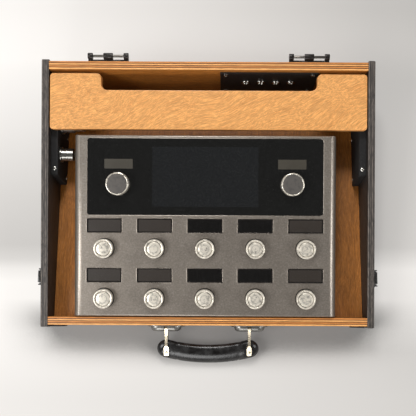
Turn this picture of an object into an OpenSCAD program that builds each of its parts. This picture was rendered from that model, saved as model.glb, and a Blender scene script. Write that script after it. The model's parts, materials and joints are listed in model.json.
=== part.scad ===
// Base tray of a lift-lid plywood pedal case with a fitted floor effects unit.
// X runs across the case, Y from the handle side to the hinge side, Z up.
// The origin is the centre of the footprint, on the surface under the feet.

/* [Case shell] */
// Width over the side panels
case_w = 488; // [474:1:540]
// Depth of the side panels from front to back
case_d = 387; // [375:1:420]
// Thickness of the front and back walls
ply_t = 12; // [9:0.5:13]
// Thickness of the side panels
side_t = 10.4; // [9:0.1:12]
// How far the side panels stand past the front and back walls
wall_inset = 3; // [2:0.5:5]
// Slope of the rim in degrees
slope = 9; // [7:0.5:10]
// Inside height at the front wall
front_in_h = 34; // [31:1:38]
// Thickness of the floor panel
floor_t = 9; // [6:0.5:12]
// Rounding of the plywood corners
ply_round = 2.5; // [1:0.5:4]

/* [Shelf] */
// Thickness of the shelf
shelf_t = 12; // [9:0.5:14]
// Drop of the shelf top below the rim
shelf_drop = 1; // [0.5:0.5:3]
// Gap at each end of the shelf
shelf_gap = 1.2; // [0.8:0.1:2]
// Gap between the shelf top and the back wall
shelf_back_gap = 5; // [3:0.1:8]
// Gap between the shelf and the back of the floor unit
shelf_front_gap = 11; // [8:0.5:14]
// Left end of the cable cut-out, from the left side panel
cutout_from_left = 76.4; // [60:0.1:100]
// Right end of the cable cut-out, from the right side panel
cutout_from_right = 74.6; // [60:0.1:80]
// Depth of the cable cut-out
cutout_d = 24.5; // [20:0.5:32]
// Outer corner radius of the shelf
shelf_corner = 5; // [3:0.5:8]
// Corner radius inside the cut-out
cutout_corner = 9; // [5:0.5:12]
// Corner radius at the mouth of the cut-out
cutout_mouth = 7; // [4:0.5:9]
// Thickness of the two boards that carry the shelf
support_t = 10; // [8:0.5:12]
// Length of the shelf supports in front of the shelf
support_reach = 65.5; // [50:0.5:80]
// How much further forward a support stands at the floor
support_lean = 4.5; // [3:0.5:8]

/* [Patch panel] */
// Width of the patch panel
panel_w = 146; // [130:1:160]
// Distance of the patch panel middle from the right side panel
panel_from_right = 144; // [138:0.5:152]
// Thickness of the patch panel
panel_t = 2; // [1.5:0.5:3]
// Drop of the panel top below the rim
panel_drop = 8; // [5:0.5:12]
// Gap between the panel and the floor
panel_foot_gap = 4.5; // [2:0.5:8]
// Drop of the jack row below the panel top
jack_drop = 36; // [34:1:44]
// Spacing of the jacks
jack_pitch = 23; // [18:0.5:28]
// Number of jacks in the panel
jack_count = 4; // [2:1:5]
// Bore radius of a jack for a 6.35 mm plug
jack_bore_r = 3.25; // [3.2:0.05:3.4]
// Barrel radius of a jack
jack_barrel_r = 5.5; // [4.8:0.1:6]

/* [Hinges] */
// Distance of each hinge from the nearer side panel
hinge_from_side = 86.6; // [74:0.1:92]
// Width of a hinge
hinge_w = 59; // [50:1:62]
// Height of the screwed leaf
hinge_leaf_h = 34; // [30:1:36]
// Thickness of the leaf
hinge_leaf_t = 3; // [2:0.5:3]
// Knuckle radius
knuckle_r = 4.5; // [4:0.1:4.8]
// Width of an end knuckle
end_knuckle_w = 6.7; // [5:0.1:8]
// Width of the middle knuckle
mid_knuckle_w = 13.3; // [10:0.1:16]
// Hinge pin radius
hinge_pin_r = 1.9; // [1.5:0.1:2.2]
// Distance of the pin axis from the back wall
hinge_out = 7.5; // [7:0.1:9]

/* [Draw latches] */
// Distance of the latch middle behind the front wall
latch_y = 58; // [40:1:80]
// Width of the latch plate
latch_w = 27; // [25:1:32]
// Height of the latch plate
latch_h = 37; // [36:1:38]
// Thickness of the latch plate
latch_plate_t = 1.5; // [1.2:0.1:1.7]
// Distance of the latch pivot from the side panel
latch_out = 3.8; // [3.7:0.05:4]
// Drop of the latch pivot below the rim
latch_pivot_drop = 14; // [13.5:0.5:15]
// Length of the lever below its pivot
lever_len = 26; // [22:0.5:27]
// Sheet thickness of the lever
lever_t = 1.2; // [1:0.1:1.4]
// Distance between the two pivots of a latch
claw_throw = 9; // [8:0.5:10]
// Reach of the claw above the pivot
claw_reach = 12; // [11:0.5:13]

/* [Handle] */
// Spacing of the two handle bails
bail_gap = 124; // [110:1:140]
// Length of the grip
grip_len = 151; // [148:1:170]
// Width of the grip across the hand
grip_w = 29; // [24:0.5:31]
// Thickness of the grip
grip_t = 17; // [14:0.5:19]
// Bow of the grip in its middle
grip_bow = 8.7; // [5:0.1:10]
// Distance from the pivot to the ends of the grip line
bail_len = 34.3; // [33:0.1:40]
// Strap width of a bail
strap_w = 4; // [3:0.1:4.4]
// Strap thickness of a bail
strap_t = 1.5; // [1.2:0.1:1.8]
// Length of a riveted pad
pad_len = 15; // [12:0.5:16]
// Width of a riveted pad
pad_w = 7; // [6:0.5:8]
// Distance of the handle pivot from the front wall
pivot_out = 4.3; // [4.25:0.05:4.5]
// Handle pin radius
pivot_pin_r = 1.75; // [1.5:0.05:1.9]
// Overall width of a handle mount
mount_w = 56; // [52:1:60]
// Overall height of a handle mount
mount_h = 30; // [28:1:32]
// Height of the dome of a handle mount
dome_h = 9; // [8.8:0.1:11]

/* [Feet and corners] */
// Height of the rubber feet
feet_h = 8; // [6:0.5:12]
// Radius of the rubber feet
feet_r = 12; // [8:0.5:14]
// Gap between a foot and the corner protector
feet_gap = 3; // [1:0.5:14]
// Width of a corner protector
corner_w = 18; // [12:1:24]
// Height of a corner protector
corner_h = 20; // [14:1:24]

/* [Wall couplers] */
// Radius of a wall coupler
coupler_r = 9.5; // [8:0.1:10]
// Reach of a wall coupler into the case
coupler_len = 30; // [26:0.5:32]
// Height of the couplers above the floor panel
coupler_up = 42; // [36:0.5:44]
// Spacing of the two couplers
coupler_pitch = 44; // [40:0.5:48]
// Distance of the front coupler ahead of the unit back
coupler_ahead = 21; // [17:0.5:23]

/* [Floor unit] */
// Mean space between the floor unit and the side panels
side_gap = 42.4; // [41:0.1:48]
// Depth of the floor unit
unit_d = 260; // [258:1:264]
// Height of the unit front above the floor panel
unit_front_h = 40.3; // [38:0.1:42]
// Offset of the unit to the left
unit_shift = 3.9; // [0:0.1:5]
// Gap between the unit and the front wall
unit_gap = 1.5; // [0.8:0.1:2]
// Rounding of the unit flanks
flank_r = 12; // [6:0.5:13]
// Wall thickness of the unit housing
unit_wall = 2.5; // [2:0.1:3.5]
// Thickness of the unit top
unit_top_t = 4; // [3:0.1:5]
// Height of the unit feet
unit_feet_h = 3; // [2:0.5:4]
// Radius of the unit feet
unit_feet_r = 9; // [7:0.5:11]
// Thickness of the unit base plate
unit_base_t = 1.5; // [1:0.1:2]
// Margin between the glass and the unit flanks
glass_side = 19.7; // [18:0.1:24]
// Gap between the glass and the rear display windows
glass_gap = 5; // [4:0.1:8]
// Thickness of the glass panel
glass_t = 1.2; // [0.8:0.1:1.6]
// Margin between the glass and the unit back edge
glass_margin = 5.3; // [4:0.1:8]
// Corner radius of the glass panel
glass_corner = 4.5; // [2:0.5:8]
// Gap between two display windows of a row
window_gap = 21.8; // [18:0.1:28]
// Depth of a display window
window_d = 20.8; // [16:0.1:22]
// Recess of the display windows
window_recess = 0.6; // [0.3:0.1:0.8]

/* [Footswitches and knobs] */
// Distance of the outer footswitches from the unit flanks
switch_side = 45.2; // [42:0.1:50]
// Distance of the front switch row from the front edge
switch_row = 26; // [24:0.1:30]
// Spacing of the two switch rows
row_pitch = 72; // [70:0.1:73]
// Distance from a switch row to its display row
display_ahead = 33.1; // [30:0.1:34]
// Radius of a footswitch cap
cap_r = 14; // [13:0.1:15]
// Height of a footswitch cap
cap_h = 9.6; // [8:0.1:15]
// Travel of a footswitch
switch_travel = 1.5; // [1:0.1:2]
// Radius of a footswitch stem
stem_r = 3.2; // [2.5:0.1:4]
// Running clearance of every stem and pivot
run_gap = 0.07; // [0.05:0.01:0.09]
// Radius of the knobs
knob_r = 16.75; // [15:0.05:18]
// Height of the knobs
knob_h = 12; // [9:0.5:16]
// Distance of the knobs from the unit flanks
knob_side = 65.2; // [60:0.1:72]
// Distance of the knobs ahead of the middle of the glass
knob_ahead = 10.9; // [6:0.1:14]
// Push travel of the knobs
knob_travel = 0.8; // [0.5:0.1:1]

/* [Hidden] */
$fn = 48;
small_fn = 24;
seat_gap = 0.3;

// Reference faces of the shell
in_w = case_w - 2*side_t;
side_x = case_w/2;
cutout_left = in_w/2 - cutout_from_left;
cutout_right = in_w/2 - cutout_from_right;
panel_x = in_w/2 - panel_from_right;
hinge_x = in_w/2 - hinge_from_side;
grip_half = grip_w/2;
floor_top = feet_h + floor_t;
rim_front = floor_top + front_in_h;
tan_s = tan(slope);
in_d = case_d - 2*wall_inset - 2*ply_t;
front_top = rim_front - ply_t*tan_s;
pivot_z = feet_h + (front_top - feet_h)/2;
ground_gap = 0.2;
grip_reach = bail_len + grip_bow;
grip_arc_r = (pow(bail_gap/2, 2) + grip_bow*grip_bow)/(2*grip_bow);
grip_arc_half = asin(bail_gap/2/grip_arc_r);
grip_cap_x = grip_len/2 - grip_half;
// Points round the grip, and steps along its middle and its ends
GRIP_ROUND = 20;
GRIP_MID = 12;
GRIP_END = 5;

// The grip is an ellipse in section: half its height when tipped by an angle
function grip_drop(a) = norm([grip_half*sin(a), grip_t/2*cos(a)]);
function grip_out(a) = norm([grip_half*cos(a), grip_t/2*sin(a)]);
// Height of the lowest point of the grip above the ground at a droop angle
function grip_low(a) = pivot_z - grip_reach*sin(a) - grip_drop(a);
// Droop at which the grip just rests on the ground, by halving the interval
function find_droop(lo, hi, n) =
  n == 0 ? lo :
  let(mid = (lo + hi)/2)
  grip_low(mid) > ground_gap ? find_droop(mid, hi, n - 1) : find_droop(lo, mid, n - 1);
droop = find_droop(0, 60, 24);
handle_out = pivot_out + grip_reach*cos(droop) + grip_out(droop);
hinge_back = hinge_out + knuckle_r;

// Y places: the footprint from the grip to the hinge knuckles is centred on zero
foot_d = handle_out + 2*ply_t + in_d + hinge_back;
wall_front_y = -foot_d/2 + handle_out;
in_front_y = wall_front_y + ply_t;
in_back_y = in_front_y + in_d;
wall_back_y = in_back_y + ply_t;
panel_front_y = wall_front_y - wall_inset;
panel_back_y = wall_back_y + wall_inset;

function rim_z(y) = rim_front + (y - in_front_y)*tan_s;
// Distance along the slope from the inner top edge of the front wall to a level place
function slope_s(y, h) = (y - in_front_y + h*sin(slope))/cos(slope);

// Floor unit places
unit_w = in_w - 2*side_gap;
unit_front_y = in_front_y + unit_gap;
unit_back_y = unit_front_y + unit_d;
unit_top_z = floor_top + unit_front_h;
unit_bottom_z = floor_top + unit_feet_h;
unit_len = unit_d/cos(slope);
// How far the forms that cut the slope run past it
slope_over = 60;
unit_feet_edge = 24;
glass_recess = glass_t - 0.2;
window_t = 1;
window_count = 5;
switch_pitch = (unit_w - 2*switch_side)/(window_count - 1);
window_w = switch_pitch - window_gap;
rear_window_end = switch_row + row_pitch + display_ahead + window_d/2;
glass_w = unit_w - 2*glass_side;
glass_d = unit_len - glass_margin - rear_window_end - glass_gap;
glass_u = rear_window_end + glass_gap + glass_d/2;
knob_x = unit_w/2 - knob_side;
knob_u = glass_u - knob_ahead;
window_corner = 1.5;
cap_recess_r = cap_r + 1;
cap_recess = 1.2;
cap_foot = 0.6;
stem_bore_d = 16;
stem_bottom = 12;
knob_foot = glass_t - glass_recess + knob_travel + seat_gap;
// Metal of a cap above its stem
cap_crown_t = 3.6;
switch_stem_top = cap_foot + cap_h - cap_crown_t;
knob_stem_top = knob_foot + knob_h - cap_crown_t;
knob_clear_r = stem_r + 1;

boss_wall = 3;
unit_jack_depth = 22;
unit_jack_lip = 2.2;
unit_jack_floor = 2;
unit_jack_z = floor_top + 26;
unit_jack_pitch = 36;
unit_jack_count = 6;

// Shelf places
shelf_top_h = -shelf_drop;
shelf_bottom_h = shelf_top_h - shelf_t;
shelf_front_s = slope_s(unit_back_y + shelf_front_gap, shelf_bottom_h);
shelf_back_s = slope_s(in_back_y - shelf_back_gap, shelf_top_h);
shelf_w = in_w - 2*shelf_gap;
support_front_y = unit_back_y + shelf_front_gap - support_reach;
support_screw_r = 3;
support_screw_h = 1.4;
// Screws low in the inner face of a support, and one in its top
support_screw_in = 9;
support_screw_pitch = 64;
support_screw_up = 7;
support_top_screw_in = 10;

// Patch panel places
panel_top_z = rim_z(in_back_y) - panel_drop;
panel_h = panel_top_z - floor_top - panel_foot_gap;
jack_z = panel_top_z - jack_drop;
jack_nut_r = 6.6;
jack_nut_t = 1.2;
jack_end = 0.5;
jack_flange_t = 1.5;
jack_flange_r = jack_barrel_r + 3;
panel_screw_edge = 8;

// Hinge places
hinge_z = rim_z(wall_back_y);
leaf_top_drop = 1.5;
hinge_screw_out = hinge_w*0.34;
hinge_screw_rows = [0.5, 0.82];

// Foot places
feet_edge = corner_w + feet_gap + feet_r;

// Latch places
latch_mid_y = in_front_y + latch_y;
latch_pivot_z = rim_z(latch_mid_y) - latch_pivot_drop;
latch_top = 8;
ear_t = 1.7;
ear_half = latch_w/2 - 1.3;
ear_r = 3;
arm_gap = 0.4;
arm_half = ear_half - ear_t - arm_gap;
stub_r = 1.1;
claw_pin_r = 1.1;
claw_half = arm_half - lever_t - arm_gap;
// Radius round a pivot that turns clear of the latch plate
claw_eye_r = latch_out - latch_plate_t - 0.2;
arm_end = claw_eye_r*0.96;
claw_t = 1.4;
lever_skin_out = latch_out + ear_r;
lever_skin_top = -claw_throw - 3.5;
latch_screw_r = 2.6;

// Handle mount places
dome_r = mount_h/2 - 3.5;
flange_t = 1.5;
flange_cap = mount_w/2 - mount_h/2;
dome_cap = flange_cap - 1.5;
mount_screw_r = 2;
mount_screw_edge = 2.6;
pocket_w = strap_w + 1.4;
eye_r = pivot_out - 0.35;
pad_seat = grip_t/2*0.86;
rivet_r = 2.3;
rivet_h = 0.9;
rivet_shank_r = 1.4;
rivet_up = pad_len*0.12;

// Coupler places
coupler_z = floor_top + coupler_up;
coupler_front_y = unit_back_y - coupler_ahead;
coupler_nut_r = coupler_r + 2.5;
coupler_nut_t = 3;
plug_r = 7.4;
plug_len = 15;
plug_collar_r = 5.2;
plug_collar_len = 11;
plug_tip_len = 20;
wall_socket_r = coupler_r - 1.5;

SIDES = ["left", "right"];
SWITCHES = [for (i = [1:2*window_count]) i];

// Points of an arc that rounds the corner b between a and c
function corner_arc(a, b, c, r, n) =
  let(u = (a - b)/norm(a - b),
      v = (c - b)/norm(c - b),
      half = acos(u*v)/2,
      mid = b + (u + v)/norm(u + v)*r/sin(half),
      p = b + u*r/tan(half) - mid,
      q = b + v*r/tan(half) - mid,
      turn = 180 - 2*half)
  [for (i = [0:n]) mid + (p*sin((1 - i/n)*turn) + q*sin(i/n*turn))/sin(turn)];

// An outline with each corner rounded by its own radius, where 0 keeps it sharp
function rounded(points, radii, n = 6) =
  let(count = len(points))
  [for (i = [0:count - 1])
    each radii[i] <= 0 ? [points[i]] :
      corner_arc(points[(i + count - 1) % count], points[i], points[(i + 1) % count], radii[i], n)];

// Half or whole ellipse outline, in steps of angle
function ellipse(a, b, from, to, n) =
  [for (i = [0:n]) let(t = from + (to - from)*i/n) [a*cos(t), b*sin(t)]];

// A round-cornered plate centred on the origin, standing on z = 0
module plate(w, d, t, r) {
  linear_extrude(t) union() {
    square([w - 2*r, d], center = true);
    square([w, d - 2*r], center = true);
    for (x = [-1, 1], y = [-1, 1]) translate([x*(w/2 - r), y*(d/2 - r)]) circle(r);
  }
}

// Extrudes a (y, z) outline across X, centred on X = 0
module across(w) {
  translate([-w/2, 0, 0]) rotate([90, 0, 90]) linear_extrude(w) children();
}

// Local frame on the rim: Y runs up the slope from the front wall, Z is square to the rim
module on_rim() {
  translate([0, in_front_y, rim_front]) rotate([slope, 0, 0]) children();
}

// Local frame on the unit top: Y runs up the slope from the front top edge
module on_unit() {
  translate([-unit_shift, unit_front_y, unit_top_z]) rotate([slope, 0, 0]) children();
}

// Turns a local Z axis to point out of the front or the back wall
module facing_front(y) { translate([0, y, 0]) rotate([90, 0, 0]) children(); }
module facing_back(y) { translate([0, y, 0]) rotate([-90, 0, 0]) children(); }

// A domed screw head with a cross recess, standing on z = 0
module screw_head(r, h) {
  difference() {
    intersection() {
      cylinder(h = h, r = r, $fn = small_fn);
      translate([0, 0, h - 2*r]) sphere(r = 2*r, $fn = small_fn);
    }
    for (turn = [0, 90]) rotate(turn) translate([-r*0.6, -r*0.11, h*0.45]) cube([r*1.2, r*0.22, h]);
  }
}

// Side panel outline in (y, z)
module side_outline() {
  polygon(rounded(
    [[panel_front_y, feet_h], [panel_back_y, feet_h],
     [panel_back_y, rim_z(panel_back_y)], [panel_front_y, rim_z(panel_front_y)]],
    [ply_round, ply_round, ply_round, ply_round]));
}

module side_panel_right() {
  color("#3b3632") translate([side_x - side_t/2, 0, 0]) across(side_t) side_outline();
}

module side_panel_left() {
  color("#3b3632") difference() {
    translate([-side_x + side_t/2, 0, 0]) across(side_t) side_outline();
    for (y = coupler_ys()) coupler_at(y) translate([0, 0, -side_t - 1])
      cylinder(h = side_t + 2, r = wall_socket_r + seat_gap);
  }
}

module front_wall() {
  color("#c98f55") across(in_w) polygon(rounded(
    [[wall_front_y, feet_h], [in_front_y, feet_h],
     [in_front_y, rim_z(in_front_y)], [wall_front_y, rim_z(wall_front_y)]],
    [0, 0, 0.8, 0.8], 3));
}

module back_wall() {
  color("#c98f55") difference() {
    across(in_w) polygon(rounded(
      [[in_back_y, feet_h], [wall_back_y, feet_h],
       [wall_back_y, rim_z(wall_back_y)], [in_back_y, rim_z(in_back_y)]],
      [0, 0, 0.8, 0.8], 3));
    for (x = jack_xs()) translate([x, 0, jack_z]) facing_back(in_back_y - 1)
      cylinder(h = ply_t + 2, r = jack_barrel_r + seat_gap);
  }
}

module floor_panel() {
  color("#a9713c") translate([-in_w/2, in_front_y, feet_h]) cube([in_w, in_d, floor_t]);
}

// Shelf outline seen square to the rim, with the cable cut-out in its back edge
function shelf_outline() = rounded(
  [[-shelf_w/2, shelf_front_s], [shelf_w/2, shelf_front_s], [shelf_w/2, shelf_back_s],
   [cutout_right, shelf_back_s], [cutout_right, shelf_back_s - cutout_d],
   [-cutout_left, shelf_back_s - cutout_d], [-cutout_left, shelf_back_s],
   [-shelf_w/2, shelf_back_s]],
  [shelf_corner, shelf_corner, shelf_corner, cutout_mouth, cutout_corner,
   cutout_corner, cutout_mouth, shelf_corner]);

module shelf() {
  color("#e0a76a") on_rim() translate([0, 0, shelf_bottom_h]) linear_extrude(shelf_t)
    polygon(shelf_outline());
}

// Height of the underside of the shelf at a level place
function shelf_under_z(y) = rim_z(y) + shelf_bottom_h/cos(slope);

// Board on the right wall that carries the shelf from the floor up, its front end leaning
module shelf_support() {
  translate([in_w/2 - support_t/2, 0, 0]) across(support_t) polygon(rounded(
    [[support_front_y - support_lean, floor_top], [in_back_y, floor_top],
     [in_back_y, shelf_under_z(in_back_y)], [support_front_y, shelf_under_z(support_front_y)]],
    [0, 0, 0, 4]));
}

module both_sides() {
  children();
  mirror([1, 0, 0]) children();
}

module shelf_supports() {
  color("#1c1b1a") difference() {
    both_sides() shelf_support();
    for (y = coupler_ys()) coupler_at(y)
      cylinder(h = support_t + 1, r = coupler_r + seat_gap);
  }
}

// Screws that hold the supports to the walls, and one in the top of each
module support_screws() {
  low_y = support_front_y - support_lean + support_screw_in;
  top_y = support_front_y + support_top_screw_in;
  color("#b9b3a8") both_sides() {
    for (y = [low_y, low_y + support_screw_pitch])
      translate([in_w/2 - support_t, y, floor_top + support_screw_up]) rotate([0, -90, 0])
        screw_head(support_screw_r, support_screw_h);
    translate([in_w/2 - support_t/2, top_y, shelf_under_z(top_y)])
      rotate([slope, 0, 0]) screw_head(support_screw_r, support_screw_h);
  }
}

function jack_xs() = [for (i = [0:jack_count - 1]) panel_x + (i - (jack_count - 1)/2)*jack_pitch];
function panel_screw_spots() =
  [for (x = [-1, 1], z = [0, 1])
    [panel_x + x*(panel_w/2 - panel_screw_edge),
     panel_top_z - panel_screw_edge - z*(panel_h - 2*panel_screw_edge)]];

module patch_panel() {
  color("#161514") difference() {
    translate([panel_x, 0, panel_top_z - panel_h/2]) facing_front(in_back_y)
      plate(panel_w, panel_h, panel_t, 1.5);
    for (x = jack_xs()) translate([x, 0, jack_z]) facing_front(in_back_y + 1)
      cylinder(h = panel_t + 2, r = jack_barrel_r + seat_gap);
  }
}

// Through jack: a barrel in the wall, a flat round nut inside and a flange outside
module patch_jack() {
  front = panel_t + jack_nut_t + jack_end;
  difference() {
    union() {
      translate([0, 0, -ply_t]) cylinder(h = ply_t + front, r = jack_barrel_r);
      translate([0, 0, panel_t]) cylinder(h = jack_nut_t, r = jack_nut_r);
      translate([0, 0, -ply_t - jack_flange_t]) cylinder(h = jack_flange_t, r = jack_flange_r);
    }
    translate([0, 0, -ply_t - jack_flange_t - 1])
      cylinder(h = ply_t + jack_flange_t + front + 2, r = jack_bore_r);
  }
}

module patch_jacks() {
  color("#c9c6bf") for (x = jack_xs())
    translate([x, 0, jack_z]) facing_front(in_back_y) patch_jack();
}

module patch_screws() {
  color("#c9c6bf") for (spot = panel_screw_spots())
    translate([spot[0], 0, spot[1]]) facing_front(in_back_y - panel_t) screw_head(3.4, 1.8);
}

// Base half of a lift-off hinge, drawn round X = 0 in case height and depth
module hinge_leaf() {
  top = hinge_z - leaf_top_drop;
  difference() {
    union() {
      translate([0, 0, top - hinge_leaf_h/2]) facing_back(wall_back_y)
        plate(hinge_w, hinge_leaf_h, hinge_leaf_t, 2);
      for (span = knuckle_spans()) {
        translate([span[0], wall_back_y + hinge_out, hinge_z]) rotate([0, 90, 0])
          cylinder(h = span[1], r = knuckle_r);
        translate([span[0], wall_back_y, hinge_z - knuckle_r])
          cube([span[1], hinge_out, knuckle_r - leaf_top_drop]);
      }
    }
    translate([-hinge_w/2 - 1, wall_back_y + hinge_out, hinge_z]) rotate([0, 90, 0])
      cylinder(h = hinge_w + 2, r = hinge_pin_r);
  }
}

// Start and width of the three knuckles of a hinge
function knuckle_spans() = [[-hinge_w/2, end_knuckle_w], [-mid_knuckle_w/2, mid_knuckle_w],
                            [hinge_w/2 - end_knuckle_w, end_knuckle_w]];

module hinge_leaf_left() { color("#26221f") translate([-hinge_x, 0, 0]) hinge_leaf(); }
module hinge_leaf_right() { color("#26221f") translate([hinge_x, 0, 0]) hinge_leaf(); }

module hinge_pins() {
  color("#4a4540") for (x = [-hinge_x, hinge_x])
    translate([x - hinge_w/2, wall_back_y + hinge_out, hinge_z]) rotate([0, 90, 0])
      cylinder(h = hinge_w, r = hinge_pin_r);
}

// Black screws of the hinges and latch plates
module case_screws() {
  color("#2b2826") {
    for (hinge = [-hinge_x, hinge_x], x = [-1, 1], z = hinge_screw_rows)
      translate([hinge + x*hinge_screw_out, 0, hinge_z - leaf_top_drop - z*hinge_leaf_h])
        facing_back(wall_back_y + hinge_leaf_t) screw_head(2.8, 1.4);
    both_sides() latch_frame() for (spot = latch_screw_spots())
      translate([spot[0], spot[1], latch_plate_t]) screw_head(latch_screw_r, 1.1);
  }
}

// One corner guard fills the step between a wall and the end of a side panel
module corner_protector(y, out) {
  translate([in_w/2 - corner_w, y, feet_h]) {
    rotate([90, 0, 0]) translate([0, 0, out > 0 ? -wall_inset : 0]) linear_extrude(wall_inset)
      polygon(rounded([[0, 0], [corner_w, 0], [corner_w, corner_h], [corner_w*0.45, corner_h],
                       [0, corner_h*0.55]], [2, 0, 0, 2, 2], 4));
  }
  translate([in_w/2 - corner_w, out > 0 ? y - corner_w : y - wall_inset, feet_h - 2])
    cube([corner_w, corner_w + wall_inset, 2]);
}

module corner_protectors() {
  color("#1b1a19") both_sides() {
    corner_protector(wall_front_y, -1);
    corner_protector(wall_back_y, 1);
  }
}

// Tapered rubber foot with a screw recess
module rubber_foot(r, h) {
  rotate_extrude() polygon(rounded(
    [[r*0.3, 0], [r*0.86, 0], [r, h], [0, h], [0, h*0.55], [r*0.3, h*0.55]],
    [0, h*0.12, 0, 0, 0, 0], 4));
}

module case_feet() {
  color("#1b1a19") both_sides()
    for (y = [wall_front_y + feet_edge, wall_back_y - feet_edge])
      translate([in_w/2 - feet_edge, y, 0]) rubber_foot(feet_r, feet_h);
}

// Local frame of a handle mount: Z points out of the front wall, Y is up
module mount_frame(x) {
  translate([x, 0, pivot_z]) facing_front(wall_front_y) children();
}

// A round-ended form: two revolved ends and a straight middle of one outline
module round_ended(cap, outline) {
  for (side = [0, 180]) rotate(side) translate([cap, 0, 0])
    rotate([0, 0, -90]) rotate_extrude(angle = 180) polygon(outline);
  rotate([90, 0, 90]) translate([0, 0, -cap]) linear_extrude(2*cap) union() {
    polygon(outline);
    mirror([1, 0]) polygon(outline);
  }
}

// Stamped mount: a thin flange and a dome, with a pocket where the bail enters
module handle_mount() {
  difference() {
    union() {
      round_ended(flange_cap, [[0, 0], [mount_h/2, 0], [mount_h/2, flange_t*0.5],
                               [mount_h/2 - flange_t*0.5, flange_t], [0, flange_t]]);
      round_ended(dome_cap, rounded(
        [[0, 0], [dome_r, 0], [dome_r - 0.5, dome_h], [0, dome_h]], [0, 0, dome_h*0.75, 0], 8));
    }
    translate([-pocket_w/2, -mount_h/2 + 1.5, flange_t])
      cube([pocket_w, mount_h - 3, dome_h]);
    translate([-pocket_w/2, -eye_r - 1, -1]) cube([pocket_w, 2*eye_r + 2, dome_h + 1]);
    translate([-dome_cap, 0, pivot_out]) rotate([0, 90, 0])
      cylinder(h = 2*dome_cap, r = pivot_pin_r, $fn = small_fn);
  }
  for (side = [-1, 1]) translate([side*(mount_w/2 - mount_screw_edge), 0, flange_t])
    screw_head(mount_screw_r, 1);
}

module handle_mounts() {
  color("#bdb9b2") for (x = [-bail_gap/2, bail_gap/2]) mount_frame(x) handle_mount();
}

module handle_pins() {
  color("#8f8b85") for (x = [-bail_gap/2, bail_gap/2]) mount_frame(x)
    translate([-dome_cap, 0, pivot_out]) rotate([0, 90, 0])
      cylinder(h = 2*dome_cap, r = pivot_pin_r, $fn = small_fn);
}

// Local frame of the handle at rest: Y runs from the pivot to the grip, Z is its upper face
module handle_frame() {
  translate([0, wall_front_y - pivot_out, pivot_z]) rotate([0, 0, 180]) rotate([-droop, 0, 0])
    children();
}

// A straight bar between two points of an outline plane
module bar(p, q, t) {
  across_dir = [-(q - p)[1], (q - p)[0]]/norm(q - p)*t/2;
  polygon([p - across_dir, q - across_dir, q + across_dir, p + across_dir]);
}

// Strap bail: an eye round the pin and two legs ending in riveted pads
module handle_bail() {
  pad_mid = pad_seat + strap_t/2;
  leg_end = bail_len - pad_len/2 + 1;
  difference() {
    union() {
      across(strap_w) union() {
        circle(eye_r);
        for (side = [-1, 1]) {
          bar([1, side*(eye_r - strap_t/2 - 0.2)], [leg_end - 2, side*pad_mid], strap_t);
          bar([leg_end - 2.3, side*pad_mid], [leg_end + 2, side*pad_mid], strap_t);
        }
      }
      for (side = [-1, 1]) {
        translate([0, bail_len, side*pad_mid]) translate([0, 0, -strap_t/2])
          plate(pad_w, pad_len, strap_t, 2);
        translate([0, bail_len + rivet_up, side*(pad_mid + strap_t/2)])
          mirror([0, 0, side < 0 ? 1 : 0]) intersection() {
            cylinder(h = rivet_h, r = rivet_r, $fn = small_fn);
            translate([0, 0, rivet_h - 2*rivet_r]) sphere(r = 2*rivet_r, $fn = small_fn);
          }
      }
      translate([0, bail_len + rivet_up, -pad_mid]) cylinder(h = 2*pad_mid, r = rivet_shank_r);
    }
    translate([-strap_w, 0, 0]) rotate([0, 90, 0])
      cylinder(h = 2*strap_w, r = pivot_pin_r + run_gap, $fn = small_fn);
  }
}

module handle_bails() {
  color("#cfc8b8") handle_frame() for (x = [-bail_gap/2, bail_gap/2])
    translate([x, 0, 0]) handle_bail();
}

// Rings along the bowed grip line, each with its place, turn and share of full size
function grip_mid_ring(t) =
  let(turn = t*grip_arc_half)
  [[grip_cap_x/sin(grip_arc_half)*sin(turn), grip_reach - grip_arc_r*(1 - cos(turn))], turn, 1];
function grip_end_ring(side, k) =
  let(turn = 78*k/GRIP_END, base = grip_mid_ring(side), a = base[1])
  [base[0] + side*grip_half*sin(turn)*[cos(a), -sin(a)*0.5], a, cos(turn)];
function grip_rings() = concat(
  [for (k = [GRIP_END:-1:1]) grip_end_ring(-1, k)],
  [for (k = [0:GRIP_MID]) grip_mid_ring(2*k/GRIP_MID - 1)],
  [for (k = [1:GRIP_END]) grip_end_ring(1, k)]);

// Skin of the grip: an ellipse on every ring, joined ring to ring and closed at both ends
module grip_skin() {
  rings = grip_rings();
  last = len(rings) - 1;
  points = [for (ring = rings, k = [0:GRIP_ROUND - 1])
    let(t = 360*k/GRIP_ROUND, side = grip_half*ring[2]*cos(t))
    [ring[0][0] + side*sin(ring[1]), ring[0][1] + side*cos(ring[1]), grip_t/2*ring[2]*sin(t)]];
  walls = [for (r = [0:last - 1], k = [0:GRIP_ROUND - 1])
    let(next = (k + 1) % GRIP_ROUND, low = r*GRIP_ROUND, high = low + GRIP_ROUND)
    each [[low + k, low + next, high + next], [low + k, high + next, high + k]]];
  polyhedron(points, concat(
    [[for (k = [GRIP_ROUND - 1:-1:0]) k]], walls,
    [[for (k = [0:GRIP_ROUND - 1]) last*GRIP_ROUND + k]]));
}

// Bowed grip with seats for the bail pads and holes for their rivets
module handle_grip() {
  color("#17140f") handle_frame() difference() {
    grip_skin();
    for (x = [-bail_gap/2, bail_gap/2]) translate([x, bail_len, 0]) {
      for (side = [-1, 1]) translate([0, 0, side*(pad_seat + grip_t/2)])
        cube([pad_w + 0.6, pad_len + 1, grip_t], center = true);
      translate([0, rivet_up, -grip_t]) cylinder(h = 2*grip_t, r = rivet_shank_r);
    }
  }
}

// Local frame of the right latch: X along the panel, Y up from the pivot, Z out of the panel
module latch_frame() {
  translate([side_x, latch_mid_y, latch_pivot_z]) rotate([90, 0, 90]) children();
}

function latch_screw_spots() = [for (x = [-1, 1]) [x*latch_w*0.3, latch_top - latch_h + 4]];

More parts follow.
